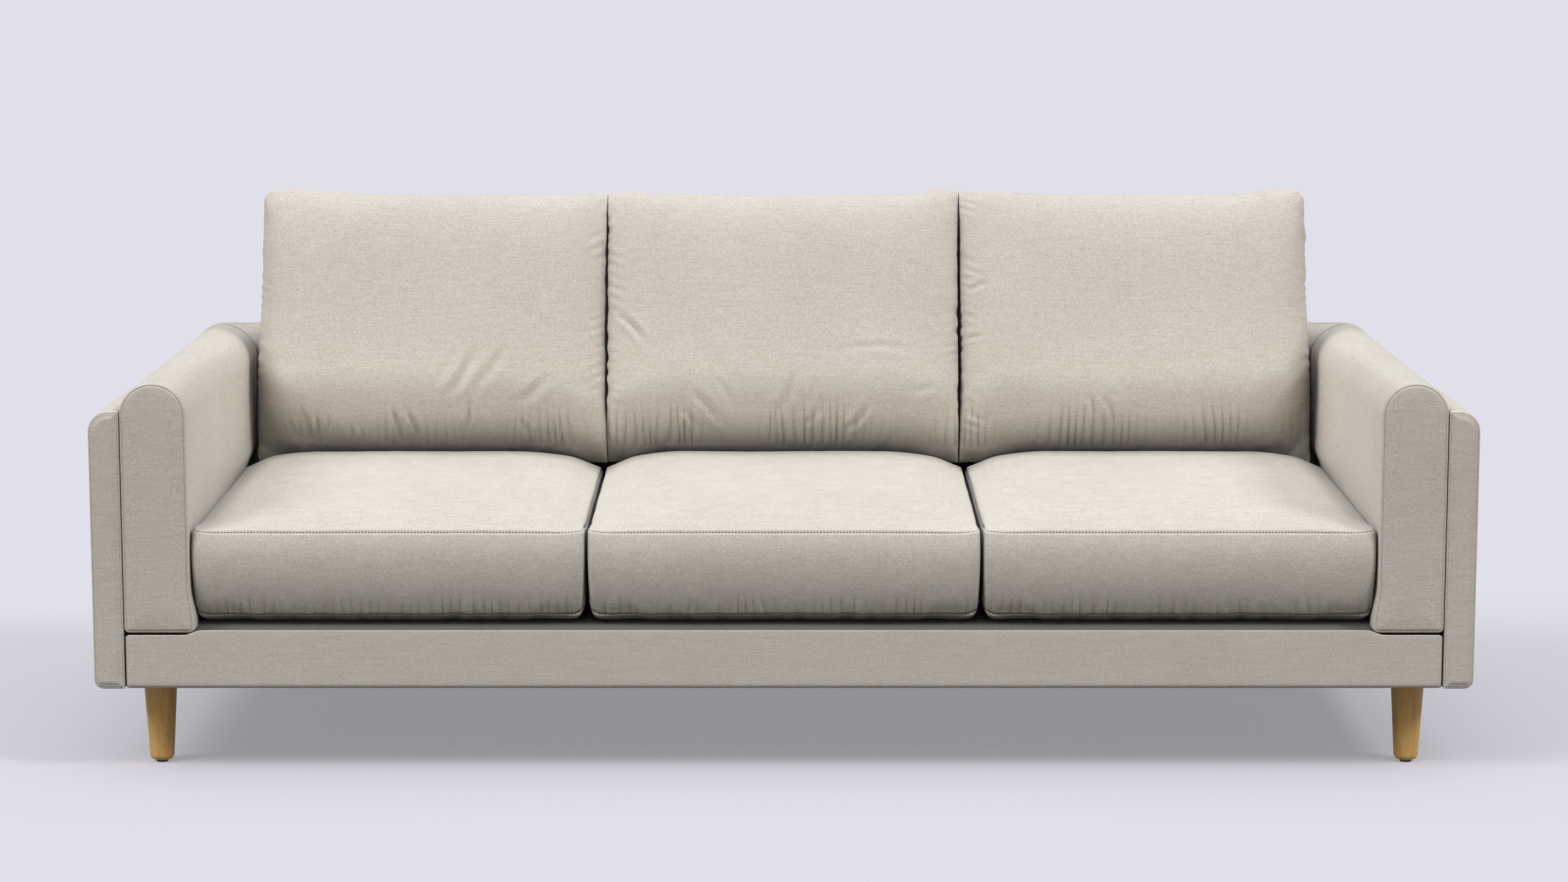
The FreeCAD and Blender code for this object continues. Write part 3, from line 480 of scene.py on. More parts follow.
def loft_faces(rows, count):
    """Quads between rows of a closed outline, and across the first and the last row."""
    faces = []
    for row in range(rows - 1):
        for spot in range(count):
            after = (spot + 1) % count
            faces.append((row * count + spot, row * count + after,
                          (row + 1) * count + after, (row + 1) * count + spot))
    last = (rows - 1) * count
    for spot in range(count // 2 - 1):
        opposite = count - 1 - spot
        faces.append((spot, opposite, opposite - 1, spot + 1))
        faces.append((last + spot, last + spot + 1, last + opposite - 1, last + opposite))
    return faces


def padded_bar(name, rows, outline, place, material=COVER):
    """A loft whose rows are (inset, along); place turns (along, outline points) into 3-D points."""
    rings = [place(along, outline(inset)) for inset, along in rows]
    return new_piece(name, np.concatenate(rings), loft_faces(len(rings), len(rings[0])), material)


print("a closed bar of 3 rows of 8 points has", len(loft_faces(3, 8)), "faces")


# %% Outlines with rounded corners
SMALLEST_RADIUS = 0.4 * MM


def unit(vector):
    """The same direction with length 1."""
    return vector / np.linalg.norm(vector)


def offset_corners(corners, inset):
    """The corners of a convex outline after each side moves inwards."""
    points = np.array([corner[:2] for corner in corners])
    sides = np.roll(points, -1, axis=0) - points
    inward = np.stack([-sides[:, 1], sides[:, 0]], axis=1) / np.linalg.norm(sides, axis=1)[:, None]
    moved = []
    for place in range(len(points)):
        before = place - 1
        matrix = np.array([inward[before], inward[place]])
        reach = np.array([inward[before] @ points[place] + inset, inward[place] @ points[place] + inset])
        moved.append(np.linalg.solve(matrix, reach))
    return np.array(moved)


def corner_arc(before, here, after, radius, bend):
    """Points round one corner, from where its arc leaves the first side to where it meets the next."""
    back, on = unit(before - here), unit(after - here)
    half_angle = math.acos(np.clip(back @ on, -1, 1)) / 2
    start = here + back * radius / math.tan(half_angle)
    centre = here + unit(back + on) * radius / math.sin(half_angle)
    angles = math.atan2(*(start - centre)[::-1]) + np.linspace(0, math.pi - 2 * half_angle, bend)
    return centre + radius * np.stack([np.cos(angles), np.sin(angles)], axis=1)


def rounded_outline(corners, inset, bend=8, runs=(20, 6, 20, 6)):
    """Points round a convex outline, starting in the middle of the side before the first corner.

    Each corner is (across, up, radius). runs holds the points inside each straight side.
    """
    places = offset_corners(corners, inset)
    total = len(corners)
    arcs = [corner_arc(places[corner - 1], places[corner], places[(corner + 1) % total],
                       max(corners[corner][2] - inset, SMALLEST_RADIUS), bend) for corner in range(total)]
    points = []
    for arc, following, run in zip(arcs, arcs[1:] + arcs[:1], runs):
        shares = np.linspace(0, 1, run + 2)[1:-1, None]
        points += [arc, arc[-1] + (following[0] - arc[-1]) * shares]
    return np.roll(np.concatenate(points), runs[-1] // 2, axis=0)


square = [(1, 0, 0.2), (1, 1, 0.2), (0, 1, 0.2), (0, 0, 0.2)]
print("a rounded square has", len(rounded_outline(square, 0)), "points")


# %% End panels
PANEL_STEPS = 9
PANEL_CROWN_POWER = 0.7
LIP_GAP = 0.5 * MM
LIP_TURN = np.radians((0, 25, 50, 70, 90))
ROLL_TURN = np.radians((12, 30, 50, 70, 90))


def end_rows(reach, seam=4.5 * MM, lip=4.0 * MM, groove=2.6 * MM, roll=5.0 * MM, crown=3.0 * MM):
    """(inset, depth) rows from the middle of an end panel, over its seam, to the side."""
    edge = seam + LIP_GAP + lip
    rows = []
    for inset in np.linspace(reach, edge, PANEL_STEPS)[:-1]:
        rise = math.sin(math.pi / 2 * (inset - edge) / (reach - edge)) ** PANEL_CROWN_POWER
        rows.append((inset, -crown * rise))
    rows += [(edge - lip * math.sin(turn), 0.6 * groove * (1 - math.cos(turn))) for turn in LIP_TURN]
    rows.append((seam, groove))
    return rows + [(seam * (1 - math.sin(turn)), 0.5 * groove + roll * (1 - math.cos(turn)))
                   for turn in ROLL_TURN]


print("an end panel has", len(end_rows(40 * MM)), "rows")


# %% Smooth steps and unevenness
def ramp(value, start, end):
    """A smooth step from 0 at start to 1 at end."""
    share = np.clip((value - start) / (end - start), 0, 1)
    return share * share * (3 - 2 * share)


def ripple(points, size, seed, waves=9):
    """A smooth unevenness between -1 and 1 at each point, made of a few crossing waves."""
    draw = np.random.default_rng(seed)
    total = np.zeros(len(points))
    for _ in range(waves):
        direction = draw.normal(size=3)
        direction *= 2 * math.pi / (size * draw.uniform(0.7, 1.6) * np.linalg.norm(direction))
        total += np.sin(points @ direction + draw.uniform(0, 2 * math.pi))
    return total / waves


print("half way up a ramp:", float(ramp(0.5, 0, 1)))

# %% [markdown]
# ## Outer arm slabs
# Each arm is two layers. The outer one is a thin slab that stands from the bottom of the base to
# below the pad, with a round outer edge along its top. A box with bevels would have no seams, so
# the slab is a loft along its length. It ends in a front panel that is sewn in, and a fine groove
# follows the outline a few millimetres inside the edge.

# %% Outer slabs
SIDE_NAMES = {-1: "left", 1: "right"}
SLAB_TOP_ROUND = 33 * MM
SLAB_FOOT_ROUND = 15 * MM
SLAB_INNER_ROUND = 3 * MM
SLAB_REAR_ROUND = 34 * MM
SLAB_REAR_FALL = 10 * MM
SLAB_FALL_START = 150 * MM
SLAB_TOP_BAND = 120 * MM
SLAB_ROWS = 80
SLOT_SLACK = 0.4 * MM
ALMOST_ALL = 0.98


def rows_between(front, rear, start, finish, middle):
    """Rows of a bar from its front panel, along its length, to its rear panel."""
    rows = [(inset, start + depth) for inset, depth in front]
    low, high = rows[-1][1], finish - rear[-1][1]
    rows += [(0.0, along) for along in np.linspace(low, high, middle + 2)[1:-1]]
    return rows + [(inset, finish - depth) for inset, depth in reversed(rear)]


def arm_box(node, sign):
    """A node's box, and its outer and inner sides as distances from the middle of the sofa."""
    low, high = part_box(node)
    outer, inner = (high.x, low.x) if sign > 0 else (-low.x, -high.x)
    return low, high, outer, inner


def make_slab(sign, side):
    """One outer slab, whose top falls a little and then turns down at the rear."""
    low, high, outer, inner = arm_box(f"slab_cover_{side}", sign)
    inner += SLOT_SLACK
    corners = [(outer, low.z, SLAB_FOOT_ROUND), (outer, high.z, SLAB_TOP_ROUND),
               (inner, high.z, SLAB_INNER_ROUND), (inner, low.z, SLAB_INNER_ROUND)]
    panel = end_rows((outer - inner) / 2 - 10 * MM, seam=3.0 * MM, groove=1.6 * MM, roll=4.0 * MM,
                     crown=2.0 * MM)

    def outline(inset):
        return rounded_outline(corners, inset, 8, (44, 0, 44, 0))

    def place(along, points):
        beyond = np.clip(along - (high.y - SLAB_REAR_ROUND), 0, SLAB_REAR_ROUND * ALMOST_ALL)
        drop = SLAB_REAR_ROUND - np.sqrt(SLAB_REAR_ROUND ** 2 - beyond ** 2)
        drop += SLAB_REAR_FALL * ramp(along, low.y + SLAB_FALL_START, high.y)
        up = points[:, 1] - drop * ramp(points[:, 1], high.z - SLAB_TOP_BAND, high.z)
        return np.stack([sign * points[:, 0], np.full(len(points), along), up], axis=1)

    rows = rows_between(panel, panel, low.y, high.y, SLAB_ROWS)
    return padded_bar(f"slab_{side}", rows, outline, place)


slabs = {side: make_slab(sign, side) for sign, side in SIDE_NAMES.items()}
for side, slab in slabs.items():
    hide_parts(f"slab_cover_{side}", f"slab_board_{side}")
print("slabs", [len(slab.data.vertices) for slab in slabs.values()])

# %% [markdown]
# ## Inner arm pads
# The inner layer is fatter, with a half round top, a front panel with a groove, and a foot that
# spreads a little over the base. It runs back until it meets the front of the back rest, so its
# last rows follow that reclined face. A cut along the face would leave an edge without a roll, so
# the rows are stretched to end on it.

# %% The front of the back rest
RECLINE = math.radians(10)
BACK_ROUND = 62 * MM
back_low, back_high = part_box("back_cover")
back_centre_up = back_high.z - BACK_ROUND
back_centre_deep = (back_low.y + (back_centre_up - back_low.z) * math.tan(RECLINE)
                    + BACK_ROUND / math.cos(RECLINE))


def back_front(up):
    """Depth of the back's front face at a height: a reclined plane, then the round top edge."""
    plane = back_low.y + (up - back_low.z) * math.tan(RECLINE)
    rise = np.clip(up - back_centre_up, 0, BACK_ROUND)
    arc = back_centre_deep - np.sqrt(BACK_ROUND ** 2 - rise ** 2)
    return np.where(up > back_centre_up + BACK_ROUND * math.sin(RECLINE), arc, plane)


print("the back leans over", round(float(back_front(back_centre_up) - back_low.y), 3), "m")

# %% Inner pads
PAD_FOOT_ROUND = 9 * MM
PAD_FLARE = 7 * MM
PAD_REAR_FULL = 13 * MM
PAD_FLARE_DEPTH = (30 * MM, 110 * MM)
PAD_FLARE_HEIGHT = (10 * MM, 75 * MM)
PAD_SIDE_REACH = 70 * MM
PAD_FULL_DEPTH = (-150 * MM, 180 * MM)
PAD_FULL_HEIGHT = (394 * MM, 436 * MM)
PAD_REAR_GAP = 0.8 * MM
PAD_ROWS = 84


def make_pad(sign, side):
    """One inner pad, from its front panel to the face of the back rest."""
    low, high, outer, inner = arm_box(f"arm_cover_{side}", sign)
    outer -= SLOT_SLACK
    dome = (outer - inner) / 2 - 0.6 * MM
    corners = [(outer, low.z, PAD_FOOT_ROUND), (outer, high.z, dome), (inner, high.z, dome),
               (inner, low.z, PAD_FOOT_ROUND)]
    panel = end_rows(dome - 5 * MM, seam=4.5 * MM, groove=2.8 * MM, roll=5.0 * MM, crown=1.8 * MM)
    rows = [(inset, low.y + depth) for inset, depth in panel]
    start = rows[-1][1]
    rows += [(0.0, start + share) for share in np.linspace(0, 1, PAD_ROWS)[1:]]

    def outline(inset):
        return rounded_outline(corners, inset, 22, (40, 0, 40, 0))

    def place(along, points):
        across, up = points[:, 0].copy(), points[:, 1]
        deep = np.full(len(points), along)
        if along > start:
            rear = np.minimum(back_front(up), back_centre_deep) - PAD_REAR_GAP
            deep = start + (along - start) * (rear - start)
        near_front = 1 - ramp(deep - low.y, *PAD_FLARE_DEPTH)
        low_down = 1 - ramp(up - low.z, *PAD_FLARE_HEIGHT)
        across -= PAD_FLARE * near_front * low_down * (1 - ramp(across, inner, inner + PAD_SIDE_REACH))
        at_rear = ramp(deep, *PAD_FULL_DEPTH) * ramp(up, *PAD_FULL_HEIGHT)
        across -= PAD_REAR_FULL * at_rear * (1 - ramp(across, inner, inner + PAD_SIDE_REACH))
        return np.stack([sign * across, deep, up], axis=1)

    return padded_bar(f"arm_pad_{side}", rows, outline, place, PAD_COVER)


pads = {side: make_pad(sign, side) for sign, side in SIDE_NAMES.items()}
for side, pad in pads.items():
    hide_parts(f"arm_cover_{side}", f"arm_foam_{side}")
print("pads", [len(pad.data.vertices) for pad in pads.values()])

# %% [markdown]
# ## Back rest
# The back rest is one long padded bar with a reclined front, so it is lofted along X. Its top
# drops in a round shoulder at each end, behind the arm pads. The rear is closed by a flat panel
# that is tacked on under a covered edge, with a line of shadow round it.

# %% The back rest
SHOULDER = 50 * MM
SHOULDER_BAND = 150 * MM
REAR_SKIN = 1.4 * MM
BACK_FOOT_ROUND = 4 * MM
front_top = back_low.y + (back_high.z - back_low.z) * math.tan(RECLINE)
rear_plane = back_high.y - REAR_SKIN
rest_corners = [(rear_plane, back_low.z, BACK_FOOT_ROUND), (rear_plane, back_high.z, BACK_ROUND),
                (front_top, back_high.z, BACK_ROUND), (back_low.y, back_low.z, BACK_FOOT_ROUND)]
rest_panel = end_rows(58 * MM, seam=2.5 * MM, groove=1.2 * MM, roll=3.0 * MM, crown=0.5 * MM)


def rest_outline(inset):
    """The back rest's outline, seen from the side."""
    return rounded_outline(rest_corners, inset, 12, (30, 0, 30, 0))


def rest_place(along, points):
    """Stand an outline at one place along the sofa, lower towards the ends of the back."""
    deep, up = points[:, 0], points[:, 1].copy()
    beyond = np.clip(abs(along) - (back_high.x - SHOULDER), 0, SHOULDER)
    drop = SHOULDER - math.sqrt(SHOULDER ** 2 - beyond ** 2)
    up -= drop * ramp(up, back_low.z + SHOULDER_BAND, back_high.z)
    return np.stack([np.full(len(points), along), deep, up], axis=1)


shoulder_steps = np.linspace(back_high.x - 86 * MM, back_high.x - 9 * MM, 14)
middle_steps = np.linspace(back_low.x + 90 * MM, back_high.x - 90 * MM, 150)
rest_steps = np.concatenate([-shoulder_steps[::-1], middle_steps, shoulder_steps])
rest_rows = [(inset, back_low.x + depth) for inset, depth in rest_panel]
rest_rows += [(0.0, along) for along in rest_steps]
rest_rows += [(inset, back_high.x - depth) for inset, depth in reversed(rest_panel)]
back_rest = padded_bar("back_rest", rest_rows, rest_outline, rest_place)
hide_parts("back_cover", "back_foam")
print("back rest", len(back_rest.data.vertices))

# %% The rear panel
PANEL_SKIN = 2.2 * MM
PANEL_ROUND = 5 * MM
PANEL_FOOT_GAP = 1 * MM
PANEL_BEHIND = 0.4 * MM
PANEL_INSETS = np.array([160, 120, 80, 50, 30, 18, 10, 6, 3, 1]) * MM
PANEL_EDGE_SHARE = 0.35
PANEL_EDGE_REACH = 9 * MM
panel_low, panel_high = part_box("back_panel")
panel_foot = panel_low.z + PANEL_FOOT_GAP
panel_corners = [(panel_high.x, panel_high.z, PANEL_ROUND), (panel_low.x, panel_high.z, PANEL_ROUND),
                 (panel_low.x, panel_foot, PANEL_ROUND), (panel_high.x, panel_foot, PANEL_ROUND)]
panel_rows = [(inset, rear_plane - PANEL_BEHIND) for inset in PANEL_INSETS] + [(0.0, rear_plane)]
panel_rows += [(inset, rear_plane + PANEL_SKIN * min(1.0, PANEL_EDGE_SHARE + inset / PANEL_EDGE_REACH))
               for inset in reversed(PANEL_INSETS)]


def panel_outline(inset):
    """The rear panel's outline, seen from behind."""
    return rounded_outline(panel_corners, inset, 4, (100, 0, 100, 0))


def panel_place(deep, points):
    """Stand a flat outline at one depth."""
    return np.stack([points[:, 0], np.full(len(points), deep), points[:, 1]], axis=1)


rear_panel = padded_bar("rear_panel", panel_rows, panel_outline, panel_place)
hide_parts("back_panel")
print("rear panel", len(rear_panel.data.vertices))


# %% [markdown]
# ## Base and deck
# A sheet of cloth wraps each rail of the base, under it, up its face and over its top. A solid
# bar would look too heavy at its open edges, so the outline has two faces a few millimetres apart
# and follows a bent path. Over the springs lies a darker decking cloth. It reaches forward to the
# front rail and closes the slot under the seats, and its darker colour is partly the decking's own
# and partly painted shade for that slot, which lies in shadow.

# %% A bent sheet
def bent_path(corners, bend=7, run=9):
    """An open line of points through corners (across, up, radius), with rounded bends."""
    points = [np.array(corners[0][:2])]
    for place in range(1, len(corners) - 1):
        here = np.array(corners[place][:2])
        back = unit(np.array(corners[place - 1][:2]) - here)
        on = unit(np.array(corners[place + 1][:2]) - here)
        reach = corners[place][2] / math.tan(math.acos(np.clip(back @ on, -1, 1)) / 2)
        start, finish = here + back * reach, here + on * reach
        last = points[-1]
        points += [last + (start - last) * step / (run + 1) for step in range(1, run + 1)]
        for share in np.linspace(0, 1, bend + 1):
            points.append((1 - share) ** 2 * start + 2 * share * (1 - share) * here
                          + share ** 2 * finish)
    points.append(np.array(corners[-1][:2]))
    return np.array(points)


def thick_sheet(path, thick):
    """A closed outline round an open path: the path itself, then its inner face on the way back."""
    along = np.gradient(path, axis=0)
    along /= np.linalg.norm(along, axis=1)[:, None]
    inner = path + np.stack([-along[:, 1], along[:, 0]], axis=1) * thick
    return np.concatenate([path, inner[::-1]])


print("a path with one bend has", len(bent_path([(0, 0, 0), (1, 0, 0.1), (1, 1, 0)])), "points")

# %% Covers round the base rails
PLINTH_ROUND = 9 * MM
PLINTH_CREST = 1.5 * MM
PLINTH_SHEET = 1.8 * MM
PLINTH_SWELL = 6.5 * MM
PLINTH_PRESS = 1.2 * MM
PLINTH_OVERLAP = 1 * MM
PLINTH_STEPS = 220
PLINTH_UNDER = 0.3 * MM
PLINTH_HEM = 2 * MM
PLINTH_TUCK = (15 * MM, 13 * MM)
PLINTH_END = 12 * MM
PLINTH_LOW_SHARE = 0.3
PLINTH_TOP_BAND = 50 * MM
UNDER_ARM = (-17 * MM, 10 * MM)
arm_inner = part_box("arm_cover_right")[0].x


def make_plinth(sign, end):
    """The cloth round one base rail. The front one swells up where no arm presses on it."""
    low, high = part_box(f"plinth_cover_{end}")
    face, inner_edge = max(abs(low.y), abs(high.y)), min(abs(low.y), abs(high.y))
    under = low.z + PLINTH_UNDER
    path = bent_path([(inner_edge + PLINTH_HEM, under, 0), (face, under, PLINTH_ROUND),
                      (face, high.z, PLINTH_CREST), (face - PLINTH_TUCK[0], high.z - PLINTH_TUCK[1], 0)])
    sheet = thick_sheet(path, PLINTH_SHEET)
    half = high.x + PLINTH_OVERLAP
    close = np.linspace(half - PLINTH_END, half, 9)
    middle = np.linspace(2 * PLINTH_END - half, half - 2 * PLINTH_END, PLINTH_STEPS)
    steps = np.concatenate([-close[::-1], middle, close])

    def place(along, points):
        beyond = np.clip(abs(along) - (half - PLINTH_ROUND), 0, PLINTH_ROUND * ALMOST_ALL)
        recess = PLINTH_ROUND - math.sqrt(PLINTH_ROUND ** 2 - beyond ** 2)
        deep = points[:, 0] - recess
        lowest = low.z + PLINTH_LOW_SHARE * (high.z - low.z)
        up = points[:, 1] - recess * ramp(points[:, 1], lowest, high.z)
        under_arm = ramp(abs(along) - arm_inner, *UNDER_ARM)
        rise = PLINTH_SWELL * (1 - under_arm) if end == "front" else 0.0
        up += (rise - PLINTH_PRESS * under_arm) * ramp(up, high.z - PLINTH_TOP_BAND, high.z)
        return np.stack([np.full(len(deep), along), sign * deep, up], axis=1)

    return padded_bar(f"plinth_{end}", [(0.0, along) for along in steps], lambda inset: sheet, place)


plinths = {end: make_plinth(sign, end) for sign, end in {-1: "front", 1: "back"}.items()}
for end, plinth in plinths.items():
    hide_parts(f"plinth_cover_{end}")
print("plinths", [len(plinth.data.vertices) for plinth in plinths.values()])

# %% The deck under the seats
# The wedge along the deck's front reaches under the seats, so its dark cloth fills the slot there as
# painted shade.
DECK_SET_BACK = 30 * MM
DECK_OVERHANG = 14 * MM
DECK_DIP = 5.6 * MM
DECK_LIP = 1.8 * MM
DECK_LIFT = 0.2 * MM
DECK_HEM = ((0.5 * MM, 0), (0.2 * MM, 1 * MM))
deck_low, deck_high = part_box("seat_deck")
deck_front = deck_low.y + DECK_SET_BACK
deck_tip = deck_low.y - DECK_OVERHANG
deck_dip = deck_low.z - DECK_DIP
deck_under = deck_low.z + DECK_LIFT
deck_corners = [(deck_high.y, deck_high.z, 2 * MM), (deck_front, deck_high.z, 12 * MM),
                (deck_tip, deck_dip + DECK_LIP, 0.6 * MM), (deck_tip, deck_dip, 0.6 * MM),
                (deck_front, deck_under, 4 * MM), (deck_high.y, deck_under, 2 * MM)]
deck_rows = [(inset, deck_low.x + depth) for inset, depth in DECK_HEM]
deck_rows += [(0.0, along) for along in np.linspace(deck_low.x + 3 * MM, deck_high.x - 3 * MM, 180)]
deck_rows += [(inset, deck_high.x - depth) for inset, depth in reversed(DECK_HEM)]


def deck_outline(inset):
    """The deck's outline, seen from the side: a thin sheet with a wedge along its front."""
    return rounded_outline(deck_corners, inset, 5, (60, 8, 0, 8, 60, 0))


def deck_place(along, points):
    """Stand the deck's outline at one place along the sofa."""
    return np.stack([np.full(len(points), along), points[:, 0], points[:, 1]], axis=1)


deck = padded_bar("deck_cloth", deck_rows, deck_outline, deck_place, DECKING)
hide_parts("seat_deck")
print("deck", len(deck.data.vertices))

# %% [markdown]
# ## Cushions
# A cushion begins as the surface of a block of cells, so its seams are known rows of points. The
# rows lie closer together near the seams, where cloth puckers. A formula gives it the shape that
# the filling wants: a crowned top and bulging sides on a seat, two cheeks and a thin edge on a
# pillow. Then cloth with air pressure inside, and seams that draw up, makes the small folds that
# a formula can't. Only those folds are kept from the simulation, so the size stays as designed.

# %% Rows of cells
def spaced_lines(length, cell, edge_cells):
    """Places from -1 to 1 for the rows of a block, close together near both ends."""
    ends = np.cumsum(edge_cells)
    inner = length - 2 * ends[-1]
    count = max(2, round(inner / cell))
    middle = ends[-1] + inner * np.arange(1, count) / count
    lines = np.concatenate([[0.0], ends, middle, length - ends[::-1], [length]])
    return lines / length * 2 - 1


def profile_lines(depth_at, half_length, cell):
    """Places from -1 to 1 that are evenly apart along a rounded profile, not across it."""
    places = -np.cos(np.linspace(0, math.pi, 4001))
    steps = np.hypot(np.diff(places) * half_length, np.diff(depth_at(places)))
    along = np.concatenate([[0.0], np.cumsum(steps)])
    count = max(4, round(along[-1] / cell))
    return np.interp(np.linspace(0, along[-1], count + 1), along, places)


print("rows of a short block:", [round(float(line), 2) for line in spaced_lines(1.0, 0.25, [0.05, 0.1])])


# %% The surface of a block of cells
def block_surface(lines):
    """Points (u, v, w) on the surface of a block of cells, its faces, and each point's number."""
    counts = [len(part) for part in lines]
    numbers = {}
    points = []
    for i in range(counts[0]):
        for j in range(counts[1]):
            inside = 0 < i < counts[0] - 1 and 0 < j < counts[1] - 1
            for k in ((0, counts[2] - 1) if inside else range(counts[2])):
                numbers[i, j, k] = len(points)
                points.append((lines[0][i], lines[1][j], lines[2][k]))
    faces = []
    for axis in range(3):
        first, second = (axis + 1) % 3, (axis + 2) % 3
        for level in (0, counts[axis] - 1):
            for a in range(counts[first] - 1):
                for b in range(counts[second] - 1):
                    ring = []
                    for da, db in ((0, 0), (1, 0), (1, 1), (0, 1)):
                        spot = [0, 0, 0]
                        spot[axis], spot[first], spot[second] = level, a + da, b + db
                        ring.append(numbers[tuple(spot)])
                    faces.append(ring if level else ring[::-1])
    return np.array(points), faces, numbers, counts


def edge_loop(numbers, counts, level):
    """The numbers of the points round a block at one level of its third direction."""
    last_i, last_j = counts[0] - 1, counts[1] - 1
    walk = [(i, 0) for i in range(last_i)] + [(last_i, j) for j in range(last_j)]
    walk += [(i, last_j) for i in range(last_i, 0, -1)] + [(0, j) for j in range(last_j, 0, -1)]
    return [numbers[i, j, level] for i, j in walk]


def round_corners(u, v, half_u, half_v, radius):
    """Turn places on a rectangle into places on one with rounded corners."""
    across, deep = np.abs(u) * half_u, np.abs(v) * half_v
    over_u = np.clip(across - (half_u - radius), 0, None)
    over_v = np.clip(deep - (half_v - radius), 0, None)
    length = np.hypot(over_u, over_v)
    share = np.where(length > 0, np.maximum(over_u, over_v) / np.maximum(length, 1e-9), 1.0)
    return (np.sign(u) * (across - over_u + over_u * share),
            np.sign(v) * (deep - over_v + over_v * share))


small_block = block_surface([np.linspace(-1, 1, 4)] * 3)
print("a block of 3 x 3 x 3 cells has", len(small_block[0]), "points and", len(small_block[1]), "faces")


# %% Reading and writing meshes
def read_points(mesh):
    """The mesh's points as an array."""
    points = np.empty(len(mesh.vertices) * 3)
    mesh.vertices.foreach_get("co", points)
    return points.reshape(-1, 3)


def read_normals(mesh):
    """The mesh's point normals as an array."""
    normals = np.empty(len(mesh.vertices) * 3)
    mesh.vertex_normals.foreach_get("vector", normals)
    return normals.reshape(-1, 3)


def write_points(mesh, points):
    """Move the mesh's points."""
    mesh.vertices.foreach_set("co", points.ravel())
    mesh.update()


def finer(piece):
    """Divide every face once, smoothly. The first points keep their numbers."""
    modifier = piece.modifiers.new("finer", "SUBSURF")
    modifier.levels = 1
    shown = piece.evaluated_get(bpy.context.evaluated_depsgraph_get())
    mesh = bpy.data.meshes.new_from_object(shown)
    old = piece.data
    piece.modifiers.remove(modifier)
    piece.data = mesh
    bpy.data.meshes.remove(old)
    mesh.name = piece.name
    mesh.shade_smooth()
    return mesh


slab_heights = read_points(slabs["left"].data)[:, 2]
print("the left slab is", round(float(np.ptp(slab_heights)), 4), "m high")

# %% [markdown]
# ## Blowing a cushion up
# Blender's cloth can hold air. The seams are a vertex group whose cloth draws up, like a thread
# that is pulled, while the panels between them stretch. A few frames are enough for the puckers
# to show. The whole movement would change the size, so a smoothed copy of it is taken away, and
# what is left is only the folds.

# %% Cloth simulation
PUFF_FRAMES = 20
PUFF_PRESSURE = 4.0
PUFF_CAP = 25 * MM
PUFF_STRETCH = -0.015
CLOTH_QUALITY = 6
CLOTH_MASS = 0.3
CLOTH_STIFFNESS = 12.0
CLOTH_BENDING = 0.15
CLOTH_DAMPING = 2.0


def add_cloth(piece, seams, draw_up):
    """Give a piece a cloth modifier that holds air and draws up along its seams."""
    group = piece.vertex_groups.new(name="seams")
    for loop in seams:
        group.add(loop, 1.0, "REPLACE")
    modifier = piece.modifiers.new("cloth", "CLOTH")
    modifier.collision_settings.use_collision = False
    settings = modifier.settings
    settings.quality = CLOTH_QUALITY
    settings.mass = CLOTH_MASS
    settings.tension_stiffness = CLOTH_STIFFNESS
    settings.compression_stiffness = CLOTH_STIFFNESS
    settings.shear_stiffness = CLOTH_STIFFNESS / 2
    settings.bending_stiffness = CLOTH_BENDING
    settings.air_damping = CLOTH_DAMPING
    settings.use_pressure = True
    settings.uniform_pressure_force = PUFF_PRESSURE
    settings.vertex_group_shrink = "seams"
    settings.shrink_min = PUFF_STRETCH
    settings.shrink_max = draw_up
    settings.effector_weights.gravity = 0
    return modifier


def puff(piece, seams, draw_up):
    """Blow a closed cushion up as cloth whose seams draw up; gives how far each point moves."""
    modifier = add_cloth(piece, seams, draw_up)
    scene = bpy.context.scene
    for number in range(1, PUFF_FRAMES + 1):
        scene.frame_set(number)
    shown = piece.evaluated_get(bpy.context.evaluated_depsgraph_get()).to_mesh()
    moved = read_points(shown) - read_points(piece.data)
    piece.modifiers.remove(modifier)
    scene.frame_set(1)
    length = np.linalg.norm(moved, axis=1)[:, None]
    return moved * np.minimum(1, PUFF_CAP / np.maximum(length, 1e-9))


print("cloth runs for", PUFF_FRAMES, "frames, or not at all in a quick look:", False)


# %% Keeping only the folds
FOLD_SMOOTHING = 30


def edge_array(mesh):
    """The mesh's edges as pairs of point numbers."""
    edges = np.empty(len(mesh.edges) * 2, dtype=np.int64)
    mesh.edges.foreach_get("vertices", edges)
    return edges.reshape(-1, 2)


def smoothed(values, edges, rounds):
    """Values averaged with their neighbours along the edges, several times."""
    degree = np.zeros(len(values))
    np.add.at(degree, edges.ravel(), 1)
    for _ in range(rounds):
        total = np.zeros_like(values)
        np.add.at(total, edges[:, 0], values[edges[:, 1]])
        np.add.at(total, edges[:, 1], values[edges[:, 0]])
        values = 0.5 * values + 0.5 * total / degree[:, None]
    return values


def dense_path(points, spacing, closed=True):
    """The same line with points at even distances."""
    line = np.vstack([points, points[:1]]) if closed else np.asarray(points)
    along = np.concatenate([[0.0], np.cumsum(np.linalg.norm(np.diff(line, axis=0), axis=1))])
    count = max(2, int(along[-1] / spacing))
    return np.stack([np.interp(np.linspace(0, along[-1], count + 1), along, line[:, axis])
                     for axis in range(3)], axis=1)


def distance_to(points, path):
    """The distance from each point to the nearest point of a path."""
    tree = KDTree(len(path))
    for number, spot in enumerate(path):
        tree.insert(spot, number)
    tree.balance()
    return np.array([tree.find(point)[2] for point in points])


